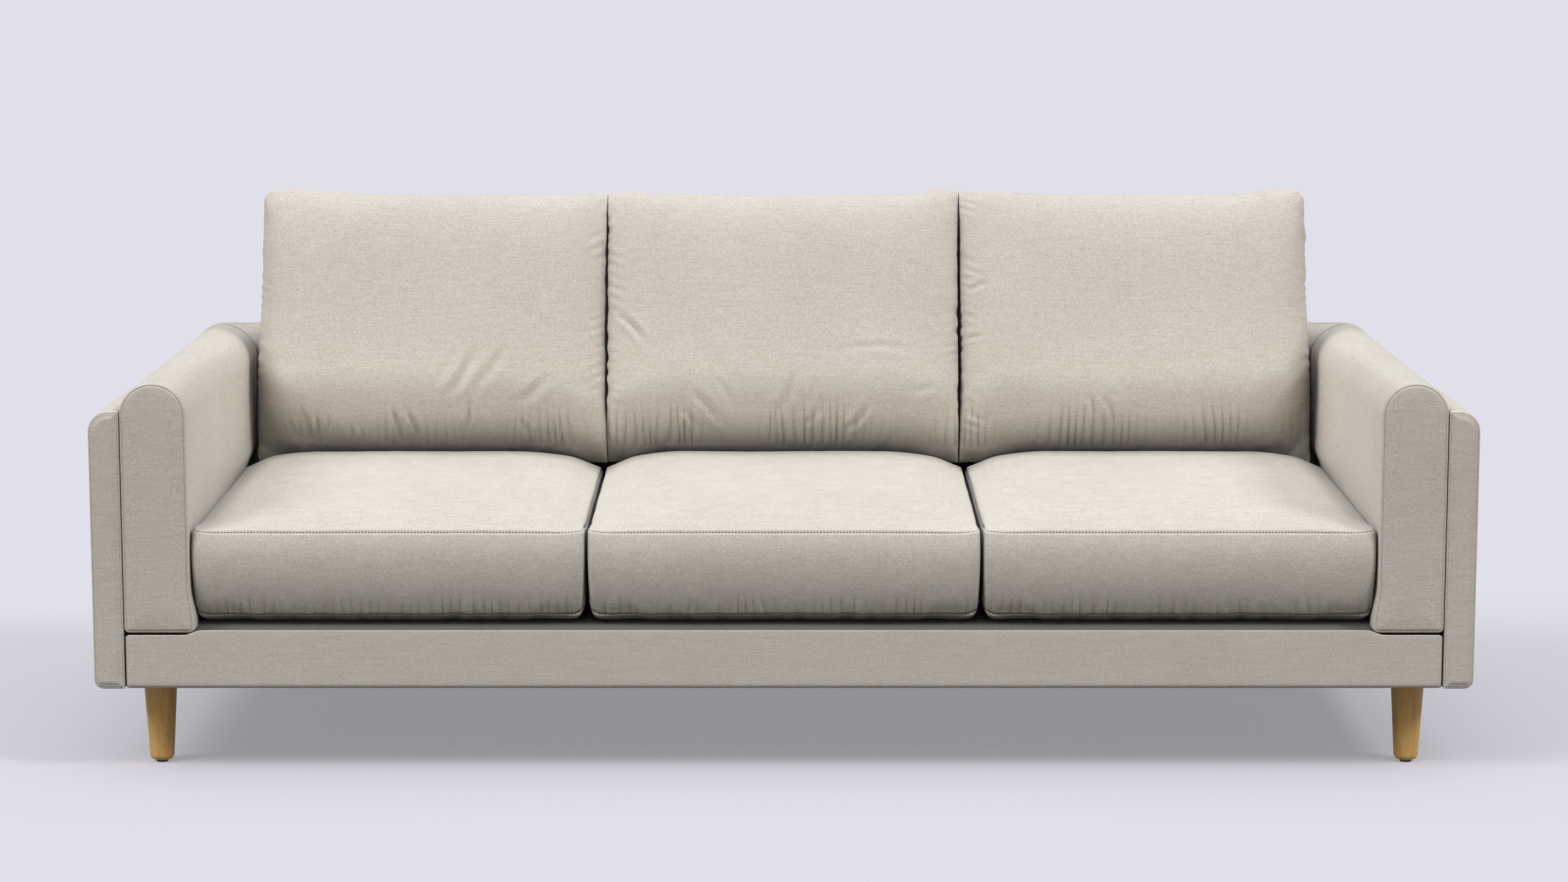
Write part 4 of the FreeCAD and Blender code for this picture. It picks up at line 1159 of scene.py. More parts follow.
def make_folds(piece, seams, gathered, draw_up, share, reach, far_share):
    """Simulate, and keep the small folds: share of them at the gathered seams, far_share far away."""
    moved = puff(piece, seams, draw_up)
    folds = moved - smoothed(moved, edge_array(piece.data), FOLD_SMOOTHING)
    points = read_points(piece.data)
    path = np.vstack([dense_path(points[loop], 4 * MM) for loop in gathered])
    near = np.exp(-(distance_to(points, path) / reach) ** 2)
    kept = folds * (far_share + (share - far_share) * near)[:, None]
    write_points(piece.data, points + kept)
    return float(np.linalg.norm(kept, axis=1).max())


print("folds are what is left after", FOLD_SMOOTHING, "rounds of smoothing")

# %% [markdown]
# ## Seams, folds and creases
# After the simulation the mesh is divided once more, and what is finer than its folds is added by
# displacement: a groove along each seam, small gathers beside it, and a few long creases where
# the cloth is pulled. Sculpting would do this too, but a formula can be seeded and run again.

# %% Seams
SEAM_WIDTH = 2.1 * MM
SEAM_DEPTH = 3.0 * MM
SEAM_LIP = 0.1 * MM
LIP_OUT = 6.0 * MM
LIP_WIDTH = 3.5 * MM


def sink_seams(mesh, loops):
    """Press a groove into the mesh along each loop of points, with a soft lip beside it."""
    points, normals = read_points(mesh), read_normals(mesh)
    path = np.vstack([dense_path(points[loop], 1.5 * MM) for loop in loops])
    away = distance_to(points, path)
    profile = -SEAM_DEPTH * np.exp(-(away / SEAM_WIDTH) ** 2)
    profile += SEAM_LIP * np.exp(-((away - LIP_OUT) / LIP_WIDTH) ** 2)
    write_points(mesh, points + normals * profile[:, None])


print("seams are", round(SEAM_DEPTH / MM, 1), "mm deep")

# %% Folds and creases
CREASE_BOW = 0.06
CREASE_TAPER = 0.38
SHOULDER_SHARE = 0.65
SHOULDER_PLACE = 1.7


def side_by_side(along, up, pitch, seed):
    """A row of upright folds of uneven width, from 0 between them to 1 at each crest."""
    place = np.stack([along, 0.4 * up, np.zeros(len(up))], axis=1)
    turns = along / pitch + ripple(place, 4 * pitch, seed)
    return np.clip(np.sin(2 * math.pi * turns), 0, 1) ** 1.5


def crease(across, up, start, finish, width, depth):
    """How far a fold presses cloth in: a soft trench from start to finish with raised shoulders."""
    start, finish = np.array(start), np.array(finish)
    run = finish - start
    length = np.linalg.norm(run)
    along = ((across - start[0]) * run[0] + (up - start[1]) * run[1]) / length ** 2
    side = ((across - start[0]) * run[1] - (up - start[1]) * run[0]) / length
    taper = np.exp(-((along - 0.5) / CREASE_TAPER) ** 4)
    bow = side + CREASE_BOW * length * np.sin(math.pi * np.clip(along, 0, 1))
    shoulder = np.exp(-((np.abs(bow) - SHOULDER_PLACE * width) / width) ** 2)
    return depth * taper * (SHOULDER_SHARE * shoulder - np.exp(-(bow / width) ** 2))


print("creases bow by", CREASE_BOW, "of their length")

# %% [markdown]
# ## Stitches
# The thread itself is geometry, one short bead for each stitch, sunk at both ends. A line painted
# on the cloth would have no edge to catch the light. Each bead is five rings of five points.

# %% Stitches
STITCH_LENGTH = 3.8 * MM
STITCH_GAP = 1.5 * MM
STITCH_LIFT = 0.2 * MM
THREAD_RADIUS = 0.75 * MM
THREAD_SIDES = 5
BEAD_PLACES = np.array([0.0, 0.22, 0.5, 0.78, 1.0])
BEAD_RISE = np.array([-1.0, 0.3, 0.6, 0.3, -1.0]) * THREAD_RADIUS
BEAD_GIRTH = np.array([0.45, 0.95, 1.0, 0.95, 0.45]) * THREAD_RADIUS


def along_path(places, along, values):
    """Three-part values read off a path at some distances along it."""
    return np.stack([np.interp(places, along, values[:, axis]) for axis in range(3)], axis=1)


def unit_rows(vectors):
    """Each row with length 1."""
    return vectors / np.linalg.norm(vectors, axis=1)[:, None]


print("a stitch is", round(STITCH_LENGTH / MM, 1), "mm long")


# %% Beads of thread
def bead_faces(count):
    """The faces of a number of beads that follow each other in one list of points."""
    faces = []
    rows = len(BEAD_PLACES)
    for base in range(0, count * rows * THREAD_SIDES, rows * THREAD_SIDES):
        for row in range(rows - 1):
            here, beyond = base + row * THREAD_SIDES, base + (row + 1) * THREAD_SIDES
            for side in range(THREAD_SIDES):
                after = (side + 1) % THREAD_SIDES
                faces.append((here + side, beyond + side, beyond + after, here + after))
        faces.append([base + side for side in range(THREAD_SIDES)])
        faces.append([base + (rows - 1) * THREAD_SIDES + side for side in reversed(range(THREAD_SIDES))])
    return faces


def bead_points(path, normals):
    """The points of one bead of thread for each stitch along a path on the cloth."""
    along = np.concatenate([[0.0], np.cumsum(np.linalg.norm(np.diff(path, axis=0), axis=1))])
    pitch = STITCH_LENGTH + STITCH_GAP
    count = int(along[-1] / pitch)
    starts = np.arange(count)[:, None] * pitch + STITCH_GAP / 2
    places = (starts + BEAD_PLACES * STITCH_LENGTH).ravel()
    centre = along_path(places, along, path)
    upward = unit_rows(along_path(places, along, normals))
    sideways = unit_rows(np.cross(unit_rows(np.gradient(centre, axis=0)), upward))
    centre += upward * (np.tile(BEAD_RISE, count) + STITCH_LIFT)[:, None]
    radius = np.tile(BEAD_GIRTH, count)[:, None]
    rings = [centre + radius * (math.cos(angle) * sideways + math.sin(angle) * upward)
             for angle in 2 * math.pi * np.arange(THREAD_SIDES) / THREAD_SIDES]
    return np.stack(rings, axis=1).reshape(-1, 3)


def sew(name, points, normals, loops):
    """One piece with a line of stitches along each loop of a cushion's points."""
    beads = np.concatenate([bead_points(points[loop + loop[:1]], normals[loop + loop[:1]])
                            for loop in loops])
    count = len(beads) // (len(BEAD_PLACES) * THREAD_SIDES)
    return new_piece(name, beads, bead_faces(count), THREAD)


print("a bead has", len(bead_faces(1)), "faces")

# %% [markdown]
# ## Seat cushions
# A seat is a box cushion: a top and a bottom panel joined by a strip that runs round the sides.
# The foam pushes the top into a crown that falls away towards the side seams, the front rolls
# over to the upper seam, and the strip bulges between its two seams. The lower seam carries the
# weight, so the cloth above it gathers in small upright folds.

# %% The sizes of a seat
SEAT_NAMES = ("left", "centre", "right")
SEAT_CELLS = (6.0 * MM, 15.0 * MM, 9.0 * MM)
SEAT_EDGE_CELLS = np.array([2.4, 3.6, 5.0]) * MM
SEAT_BULGE = 9 * MM
SEAT_TUCK = 24 * MM
SEAT_SIDE_BULGE = 1.0 * MM
SEAT_SIDE_TUCK = 1.4 * MM
SEAT_SIDE_DROP = 16 * MM
SEAT_SHOULDER = 12 * MM
SEAT_SEAM_TUCK = 3 * MM
SEAT_WIDEST = 0.35
SEAT_PROUD = 7 * MM
SEAT_CORNER = 12 * MM
SEAT_FOOT = 13 * MM
SEAT_FOOT_ARC = 26 * MM
SEAT_FOOT_RISE = 17 * MM
SEAT_FOOT_ROLL = 24 * MM
SEAT_FRONT_SEAM = 154 * MM
SEAT_SEAM_RISE = 10 * MM
SEAT_SIDE_ROLL = 150 * MM
SEAT_FRONT_ROLL = 120 * MM
SEAT_REAR_ROLL = 60 * MM
SEAT_FRONT_SHARE = 0.84
SEAT_CROWN_REACH = 420 * MM
seat_low, seat_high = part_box("seat_cushion_cover_centre")
seat_half_x = (seat_high.x - seat_low.x) / 2 - 0.3 * MM
seat_half_y = (seat_high.y - seat_low.y) / 2 - 0.6 * MM
seat_middle_y = (seat_high.y + seat_low.y) / 2
left_seat_low, left_seat_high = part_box("seat_cushion_cover_left")
SEAT_PITCH = -(left_seat_low.x + left_seat_high.x) / 2
print("seats stand", round(SEAT_PITCH, 4), "m apart and are", round(2 * seat_half_x, 4), "m wide")


# %% The upper seam and the top of a seat
SEAM_CORNER_LIFT, SEAM_CORNER_REACH = 3 * MM, 45 * MM
SEAM_SIDE_LIFT, SEAM_SIDE_REACH = 5 * MM, 70 * MM
SIDE_DROP_BAND = (-62 * MM, 4 * MM)
SIDE_DROP_DEPTH = (18 * MM, 90 * MM)
SIDE_ROLL_POWER, FRONT_ROLL_POWER, REAR_ROLL_POWER = 0.7, 0.8, 0.7


def roll_over(distance, reach, power=0.75):
    """A surface that rises steeply from a seam and levels off after the given reach."""
    return np.sin(math.pi / 2 * np.clip(distance / reach, 0, 1)) ** power


def seam_height(x, y):
    """Height of a seat's upper seam above the seat's foot, from its place on the seat."""
    from_front = y + seat_half_y - SEAT_BULGE
    near_corner = ramp(np.abs(x), seat_half_x - SEAM_CORNER_REACH, seat_half_x)
    beside = ramp(np.abs(x) - seat_half_x, *SIDE_DROP_BAND)
    drop = SEAT_SIDE_DROP * beside * ramp(from_front, *SIDE_DROP_DEPTH)
    rise = SEAT_SEAM_RISE * np.clip(from_front / (2 * seat_half_y), 0, 1)
    lift = SEAM_SIDE_LIFT * ramp(from_front, 0, SEAM_SIDE_REACH) + SEAM_CORNER_LIFT * near_corner
    return SEAT_FRONT_SEAM + rise + lift - drop


def seat_top(x, y):
    """Height of a seat's top above its foot, from its place on the seat."""
    side = seat_half_x - SEAT_SIDE_BULGE - np.abs(x)
    front = y + seat_half_y - SEAT_BULGE
    rear = seat_half_y - SEAT_BULGE - y
    seam = seam_height(x, y)
    full = (seat_high.z - seat_low.z) - SEAT_FRONT_SEAM + SEAT_PROUD
    crown = SEAT_FRONT_SHARE + (1 - SEAT_FRONT_SHARE) * ramp(front, 0, SEAT_CROWN_REACH)
    lift = (full * crown * roll_over(side, SEAT_SIDE_ROLL, SIDE_ROLL_POWER)
            * roll_over(front, SEAT_FRONT_ROLL, FRONT_ROLL_POWER)
            * roll_over(rear, SEAT_REAR_ROLL, REAR_ROLL_POWER))
    return seam + np.clip(lift - (seam - SEAT_FRONT_SEAM) * roll_over(side, SEAT_SIDE_ROLL), 0, None)


print("the upper seam stands", round(float(seam_height(0.0, -seat_half_y)), 4), "m up at the front")

# %% The shape of a seat
BULGE_POWER = 2.2
SEAM_TUCK_REACH = 4 * MM
SPREAD_DEPTH = (40 * MM, 110 * MM)
FOOT_RISE_DEPTH = (20 * MM, 60 * MM)
FOOT_ROLL_POWER = 0.9


def edge_depth(beside, before, radius):
    """How far a place lies in from the edge of a block with rounded upright corners."""
    near = np.minimum(beside, before)
    corner = radius - np.hypot(np.clip(radius - beside, 0, None), np.clip(radius - before, 0, None))
    return np.where(near < radius, corner, near)


def seat_plan(u, v, w):
    """Where a place on the block stands on the floor: the strip bulges and tucks in at its foot."""
    above = np.clip((w - SEAT_WIDEST) / (1 - SEAT_WIDEST), 0, 1) ** BULGE_POWER
    below = np.clip((SEAT_WIDEST - w) / (1 + SEAT_WIDEST), 0, 1) ** 2
    front = SEAT_BULGE * above + SEAT_TUCK * below
    side = SEAT_SIDE_BULGE * above + SEAT_SIDE_TUCK * below
    return round_corners(u, v, seat_half_x - side, seat_half_y - front, SEAT_CORNER)


def seat_shape(spots):
    """Turn places on the block into the seat's surface, about the middle of its foot."""
    u, v, w = spots.T
    x, y = seat_plan(u, v, w)
    from_seam = (1 - np.abs(u)) * seat_half_x
    spread = from_seam * np.exp(-(from_seam / SEAT_SHOULDER) ** 2)
    spread -= SEAT_SEAM_TUCK * np.exp(-(from_seam / SEAM_TUCK_REACH) ** 2)
    spread *= ramp(y + seat_half_y, *SPREAD_DEPTH)
    seam = seam_height(x, y)
    top = seat_top(x, y)
    x = np.where(w >= 1, x + np.sign(u) * spread, x)
    beside = seat_half_x - SEAT_SIDE_TUCK - np.abs(x)
    before = seat_half_y - SEAT_TUCK - np.abs(y)
    arc = 1 - np.sqrt(1 - np.clip(1 - beside / SEAT_FOOT_ARC, 0, 1) ** 2)
    foot = SEAT_FOOT + SEAT_FOOT_RISE * arc * (1 - ramp(before, *FOOT_RISE_DEPTH))
    rolled = roll_over(edge_depth(beside, before, SEAT_CORNER), SEAT_FOOT_ROLL, FOOT_ROLL_POWER)
    z = foot + (seam - foot) * (w + 1) / 2
    z = np.where(w >= 1, top, z)
    z = np.where(w <= -1, foot * (1 - rolled), z)
    return np.stack([x, y, z], axis=1)


seat_lines = [spaced_lines(length, cell, SEAT_EDGE_CELLS) for length, cell in
              zip((2 * seat_half_x, 2 * seat_half_y, SEAT_FRONT_SEAM), SEAT_CELLS)]
seat_spots, seat_faces, seat_numbers, seat_counts = block_surface(seat_lines)
seat_seams = [edge_loop(seat_numbers, seat_counts, level) for level in (0, seat_counts[2] - 1)]
print("a seat starts with", len(seat_spots), "points and is",
      round(float(seat_shape(seat_spots)[:, 2].max()), 4), "m high")

# %% Gathers and drapes of a seat
GATHER_PITCH = 16 * MM
GATHER_DEPTH = 3.4 * MM
DRAG_DEPTH = 1.0 * MM
DRAG_SIZE = 34 * MM
UNEVEN_DEPTH = 1.4 * MM
UNEVEN_SIZE = 170 * MM
GATHER_PATCH = 110 * MM
GATHER_START = 4 * MM
GATHER_LOWEST, GATHER_LONGEST, GATHER_FADE = 10 * MM, 36 * MM, 4 * MM
DRAG_HEIGHT = (40 * MM, 120 * MM)
GATHER_SEED, DRAPE_SEED = 40, 60


def seat_gathers(points, normals, seed):
    """Narrow upright folds of uneven height just above the lower seam."""
    x, y, z = points.T
    along = np.where(np.abs(normals[:, 0]) > 0.7, y, x)
    crest = side_by_side(along, z, GATHER_PITCH, seed)
    place = np.stack([along, 0.1 * z, np.zeros(len(z))], axis=1)
    patch = np.clip(0.75 + 1.5 * ripple(place, GATHER_PATCH, seed + 1), 0.1, 1)
    height = z - SEAT_FOOT
    highest = GATHER_LOWEST + GATHER_FADE + GATHER_LONGEST * patch
    band = ramp(height, 0, GATHER_START) * (1 - ramp(height, GATHER_LOWEST, highest))
    upright = 1 - np.abs(normals[:, 2])
    return -GATHER_DEPTH * crest * band * upright * patch


def seat_drapes(points, normals, seed):
    """A few faint upright drags on the front strip, and slow unevenness all over."""
    front = np.clip(-normals[:, 1], 0, 1)
    drag = ripple(points * [1, 0, 0.12], DRAG_SIZE, seed + 5)
    low = 1 - ramp(points[:, 2], *DRAG_HEIGHT)
    slow = ripple(points, UNEVEN_SIZE, seed + 9)
    return DRAG_DEPTH * drag * front * low + UNEVEN_DEPTH * slow


print("gathers are", round(GATHER_PITCH / MM), "mm apart")

# %% Making the seats
SEAT_DRAW_UP = 0.05
SEAT_FOLD_SHARES = (0.8, 28 * MM, 0.06)
seats = {}
for order, side in enumerate(SEAT_NAMES):
    seat = new_piece(f"seat_{side}", seat_shape(seat_spots), seat_faces)
    kept = make_folds(seat, seat_seams, seat_seams[:1], SEAT_DRAW_UP, *SEAT_FOLD_SHARES)
    mesh = finer(seat)
    points, normals = read_points(mesh), read_normals(mesh)
    shift = seat_gathers(points, normals, GATHER_SEED + order)
    shift += seat_drapes(points, normals, DRAPE_SEED + order)
    write_points(mesh, points + normals * shift[:, None])
    sink_seams(mesh, seat_seams)
    points, normals = read_points(mesh), read_normals(mesh)
    points[:, 2] = np.maximum(points[:, 2], 0.1 * MM)
    points += np.array([(order - 1) * SEAT_PITCH, seat_middle_y, seat_low.z])
    write_points(mesh, points)
    thread = sew(f"seat_stitches_{side}", points, normals, seat_seams)
    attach(seat, f"seat_cushion_{side}")
    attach(thread, f"seat_cushion_{side}")
    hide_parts(f"seat_cushion_cover_{side}", f"seat_cushion_core_{side}")
    seats[side] = seat
    print("seat", side, len(mesh.vertices), "points, folds up to", round(kept * 1000, 1), "mm")

# %% [markdown]
# ## Back cushions
# A back cushion has two cheeks sewn edge to edge, with one seam that runs right round it. It
# leans on the back rest and stands on the seat, so its belly is low, its bottom curls under and
# its lower corners hang into the notches between the seats. Where it meets the seat or the back
# rest it is pressed flat against them. One pillow copied three times would look like a pattern,
# so each has its own corners, cut, creases and seed.

# %% The sizes of a back cushion
PILLOW_LEAN = math.radians(16)
PILLOW_UP = np.array([0, math.sin(PILLOW_LEAN), math.cos(PILLOW_LEAN)])
PILLOW_OUT = np.array([0, -math.cos(PILLOW_LEAN), math.sin(PILLOW_LEAN)])
PILLOW_HALF_THICK = 75 * MM
PILLOW_EDGE = 7 * MM
PILLOW_CELLS = (5.8 * MM, 9.0 * MM)
PILLOW_OUTER_CORNER = 24 * MM
PILLOW_INNER_CORNER = 20 * MM
PILLOW_HEADROOM = 5 * MM
PILLOW_FOOT_DEPTH = 70.4 * MM
pillow_low, pillow_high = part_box("back_cushion_cover_centre")
left_pillow_low, left_pillow_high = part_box("back_cushion_cover_left")
PILLOW_PITCH = -(left_pillow_low.x + left_pillow_high.x) / 2
pillow_half_x = (pillow_high.x - pillow_low.x) / 2 - 0.3 * MM
pillow_tall = (pillow_high.z - PILLOW_HEADROOM - pillow_low.z) / math.cos(PILLOW_LEAN)
pillow_foot = np.array([0, pillow_low.y + PILLOW_FOOT_DEPTH, pillow_low.z])
print("back cushions are", round(2 * pillow_half_x, 4), "m wide and", round(pillow_tall, 4), "m tall")

# %% How each back cushion differs
# The side that faces an arm, the cut of the foot at that side (where it starts and how far it
# reaches), how far the lower left and right corners hang down, and how far the upper corners
# stand up (height, and the share of the half width where they begin to rise).
OUTER_SIDE = {"left": -1, "centre": 0, "right": 1}
PILLOW_CUT = {"left": (20 * MM, 170 * MM), "centre": (0.0, 1 * MM), "right": (30 * MM, 190 * MM)}
PILLOW_TIPS = {"left": (8 * MM, 26 * MM), "centre": (13 * MM, 27 * MM), "right": (27 * MM, 18 * MM)}
PILLOW_EARS = {"left": ((10.5 * MM, 0.15), (3.0 * MM, 0.4)),
               "centre": ((5.0 * MM, 0.3), (10.5 * MM, 0.62)),
               "right": ((7.0 * MM, 0.3), (11.0 * MM, 0.5))}
EAR_TALLEST = 11 * MM
EAR_FULL = 0.93
PILLOW_SEEDS = {"left": 100, "centre": 110, "right": 120}
print("seeds", PILLOW_SEEDS)

# %% How full a back cushion is
PILLOW_CURL = 138 * MM
PILLOW_CURL_POWER = 1.75
PILLOW_TUCK = 45 * MM
PILLOW_TUCK_REACH = 190 * MM
PILLOW_UNCUT = 0.35
PILLOW_UNCUT_REACH = 125 * MM
SIDE_POWER, TOP_POWER, REAR_FOOT_POWER = 8.0, 4.0, 5.5
SLUMP_LOW, SLUMP_HIGH, SLUMP_SIDES = 0.05, 0.10, 0.03
CURL_UNEVEN = 0.12


def cheek_profile(places, power):
    """How full a cheek is, from 0 at the seam to 1 in the middle, across one direction."""
    return np.sqrt(np.clip(1 - np.abs(places) ** power, 0, 1))


def curled_profile(from_foot):
    """How full a cheek is over its foot, where it curls under, from 0 at the foot to 1 at the belly."""
    return 1 - np.clip(1 - from_foot / PILLOW_CURL, 0, 1) ** PILLOW_CURL_POWER


def pillow_seam_back(from_foot):
    """How far behind the middle of the cushion its seam runs, most at the foot."""
    return PILLOW_TUCK * (1 - ramp(from_foot, 0, PILLOW_TUCK_REACH))


def pillow_depth(spots, side, across, outer):
    """How far out a point of a back cushion stands from the plane of its seam."""
    u, v, w = spots.T
    from_foot = (v + 1) * pillow_tall / 2
    from_side = (1 - np.abs(u)) * pillow_half_x
    beside = np.clip(1 - from_side / PILLOW_UNCUT_REACH, 0, 1) ** 1.3
    flat = np.stack([across, 0 * u, 0 * u], axis=1)
    uneven = CURL_UNEVEN * ripple(flat, 260 * MM, PILLOW_SEEDS[side])
    curl_place = from_foot / (1 + uneven - np.where(outer, 0.0, PILLOW_UNCUT * beside))
    start, reach = PILLOW_CUT[side]
    from_corner = (from_side + from_foot - start) / reach
    cut = np.where(outer, 1 - np.clip(1 - from_corner, 0, 1) ** PILLOW_CURL_POWER, 1.0)
    slump = 1 + SLUMP_LOW * ramp(-v, -0.4, 0.6) - SLUMP_HIGH * ramp(v, 0.1, 1.0) - SLUMP_SIDES * u ** 2
    slump /= 1 + SLUMP_LOW
    sides = cheek_profile(u, SIDE_POWER)
    upper = np.where(v > 0, cheek_profile(v, TOP_POWER), 1.0)
    rear_foot = np.where(v > 0, upper, cheek_profile(v, REAR_FOOT_POWER))
    back = np.maximum(pillow_seam_back(curl_place), PILLOW_TUCK * (1 - cut))
    foot = upper * curled_profile(curl_place) * cut
    front = (PILLOW_HALF_THICK + back - PILLOW_EDGE) * sides * foot * slump
    rear = (PILLOW_HALF_THICK - back - PILLOW_EDGE) * sides * rear_foot * slump
    return np.where(w > 0, PILLOW_EDGE + front, -PILLOW_EDGE - rear) * np.abs(w) - back


half_profile = cheek_profile(np.array([0.0, 0.5, 0.9]), SIDE_POWER)
print("fullness at 0, 0.5 and 0.9 of the half width", [round(float(value), 2) for value in half_profile])

# %% The outline of a back cushion
PILLOW_SINK = 12 * MM
PILLOW_SQUEEZE = 14 * MM
PILLOW_OUTER_PULL = 15 * MM
PILLOW_PULL_EASE = 9 * MM
PILLOW_GAP_SHIFT = 5 * MM
PILLOW_GAP_LEAN = 2 * MM
TIP_START = 0.72


def left_or_right(u, values):
    """The first of two values on the left half of a cushion, and the second on the right half."""
    return np.where(u < 0, values[0], values[1])


def pillow_heights(u, v, side):
    """How far a point is below a plain rectangle: between the ears, at the tips and at the foot."""
    (left_rise, left_start), (right_rise, right_start) = PILLOW_EARS[side]
    rise = left_or_right(u, (left_rise * ramp(-u, left_start, EAR_FULL),
                             right_rise * ramp(u, right_start, EAR_FULL)))
    top_dip = (EAR_TALLEST - rise) * ramp(v, 0.2, 1.0)
    near_tip = np.clip((np.abs(u) - TIP_START) / (1 - TIP_START), 0, 1) ** 1.6
    tip = left_or_right(u, PILLOW_TIPS[side]) * near_tip * ramp(-v, 0.55, 1.0)
    return top_dip + tip + PILLOW_SINK * ramp(-v, 0.6, 1.0)


def pillow_shifts(u, v, side, outer):
    """How far the sides move across: in at an arm, and to one side where a gap is off centre."""
    pull = np.where(outer, PILLOW_OUTER_PULL - PILLOW_PULL_EASE * ramp(-v, -0.3, 1.0), 0.0)
    shift = PILLOW_GAP_SHIFT * np.where(side == "centre", u > 0, (side == "right") & (u < 0))
    lean = PILLOW_GAP_LEAN * v * np.where(side == "centre", u < 0, (side == "left") & (u > 0))
    return (lean - shift - np.sign(u) * pull) * np.abs(u) ** 2


def pillow_shape(spots, side):
    """Turn places on the block into (across, up, out) in the cushion's own leaning frame."""
    u, v, _ = spots.T
    half_tall = pillow_tall / 2
    outer = np.sign(u) == OUTER_SIDE[side]
    radius = np.where(outer, PILLOW_OUTER_CORNER, PILLOW_INNER_CORNER)
    half_wide = pillow_half_x + np.where(outer, 0.0, PILLOW_SQUEEZE)
    across, up = round_corners(u, v, half_wide, half_tall, radius)
    out = pillow_depth(spots, side, across, outer)
    return np.stack([across + pillow_shifts(u, v, side, outer),
                     up + half_tall - pillow_heights(u, v, side), out], axis=1)


def pillow_reach(side):
    """The sides that a back cushion may not pass, so that the gaps between them stay open."""
    lowest, highest = -pillow_half_x, pillow_half_x
    if side == "left":
        highest += PILLOW_GAP_LEAN
    if side == "centre":
        highest -= PILLOW_GAP_SHIFT
    if side == "right":
        lowest -= PILLOW_GAP_SHIFT
    return lowest, highest


print("sides may reach", {side: [round(value, 4) for value in pillow_reach(side)] for side in SEAT_NAMES})

# %% [markdown]
# ## Standing and leaning
# A cushion that only overlaps its neighbours would pass through them when it is lifted. So the
# points that would be inside a seat are raised to just above it, with a ray cast down on the seat,
# and the points that would be inside the back rest are brought to just in front of it.

# %% Placing a back cushion
PRESS_REACH = 60 * MM
PRESS_GAP = 1.0 * MM
REAR_FLOOR = 18 * MM
REAR_FLOOR_START = 75 * MM
REAR_FLOOR_FULL = 45 * MM


def pillow_place(own, centre_x):
    """From a back cushion's own frame to the sofa's."""
    placed = pillow_foot + own[:, 1:2] * PILLOW_UP + own[:, 2:3] * PILLOW_OUT
    placed[:, 0] = own[:, 0] + centre_x
    return placed


def rest_on_seats(points):
    """Lift points that would be inside a seat, or low behind it, to just above it."""
    ceiling = pillow_low.z + PRESS_REACH
    low_points = np.nonzero(points[:, 2] < ceiling)[0]
    for seat in seats.values():
        tree = BVHTree.FromPolygons([tuple(point) for point in read_points(seat.data)],
                                    [tuple(face.vertices) for face in seat.data.polygons])
        for number in low_points:
            x, y, _ = points[number]
            hit = tree.ray_cast(Vector((x, y, ceiling)), Vector((0, 0, -1)))[0]
            if hit is not None and hit.z > pillow_low.z - PRESS_REACH:
                points[number, 2] = max(points[number, 2], hit.z + PRESS_GAP)
    lifted = np.maximum(points[:, 2], pillow_low.z - REAR_FLOOR)
    share = ramp(points[:, 1], seat_high.y - REAR_FLOOR_START, seat_high.y - REAR_FLOOR_FULL)
    points[:, 2] += (lifted - points[:, 2]) * share
    return points


def lean_on_rest(points):
    """Bring points that would be inside the back rest to just in front of it."""
    limit = back_front(np.minimum(points[:, 2], back_high.z)) - PRESS_GAP
    behind = (points[:, 2] < back_high.z) & (points[:, 1] > limit)
    points[behind, 1] = limit[behind]
    return points


print("the foot of a back cushion stands at", [round(float(value), 4) for value in pillow_foot])

# %% [markdown]
# ## Creases of the back cushions
# The cloth is pulled from the seams, so it folds in three ways: short puckers beside the side
# seams, narrow upright folds where the foot curls under, and a few long creases over the belly.
# The first two are patterns with a seed. The long ones are listed one by one, as each one tells how
# the cushion was last sat on.

# %% Long creases
CREASE_STRENGTH = 1.8
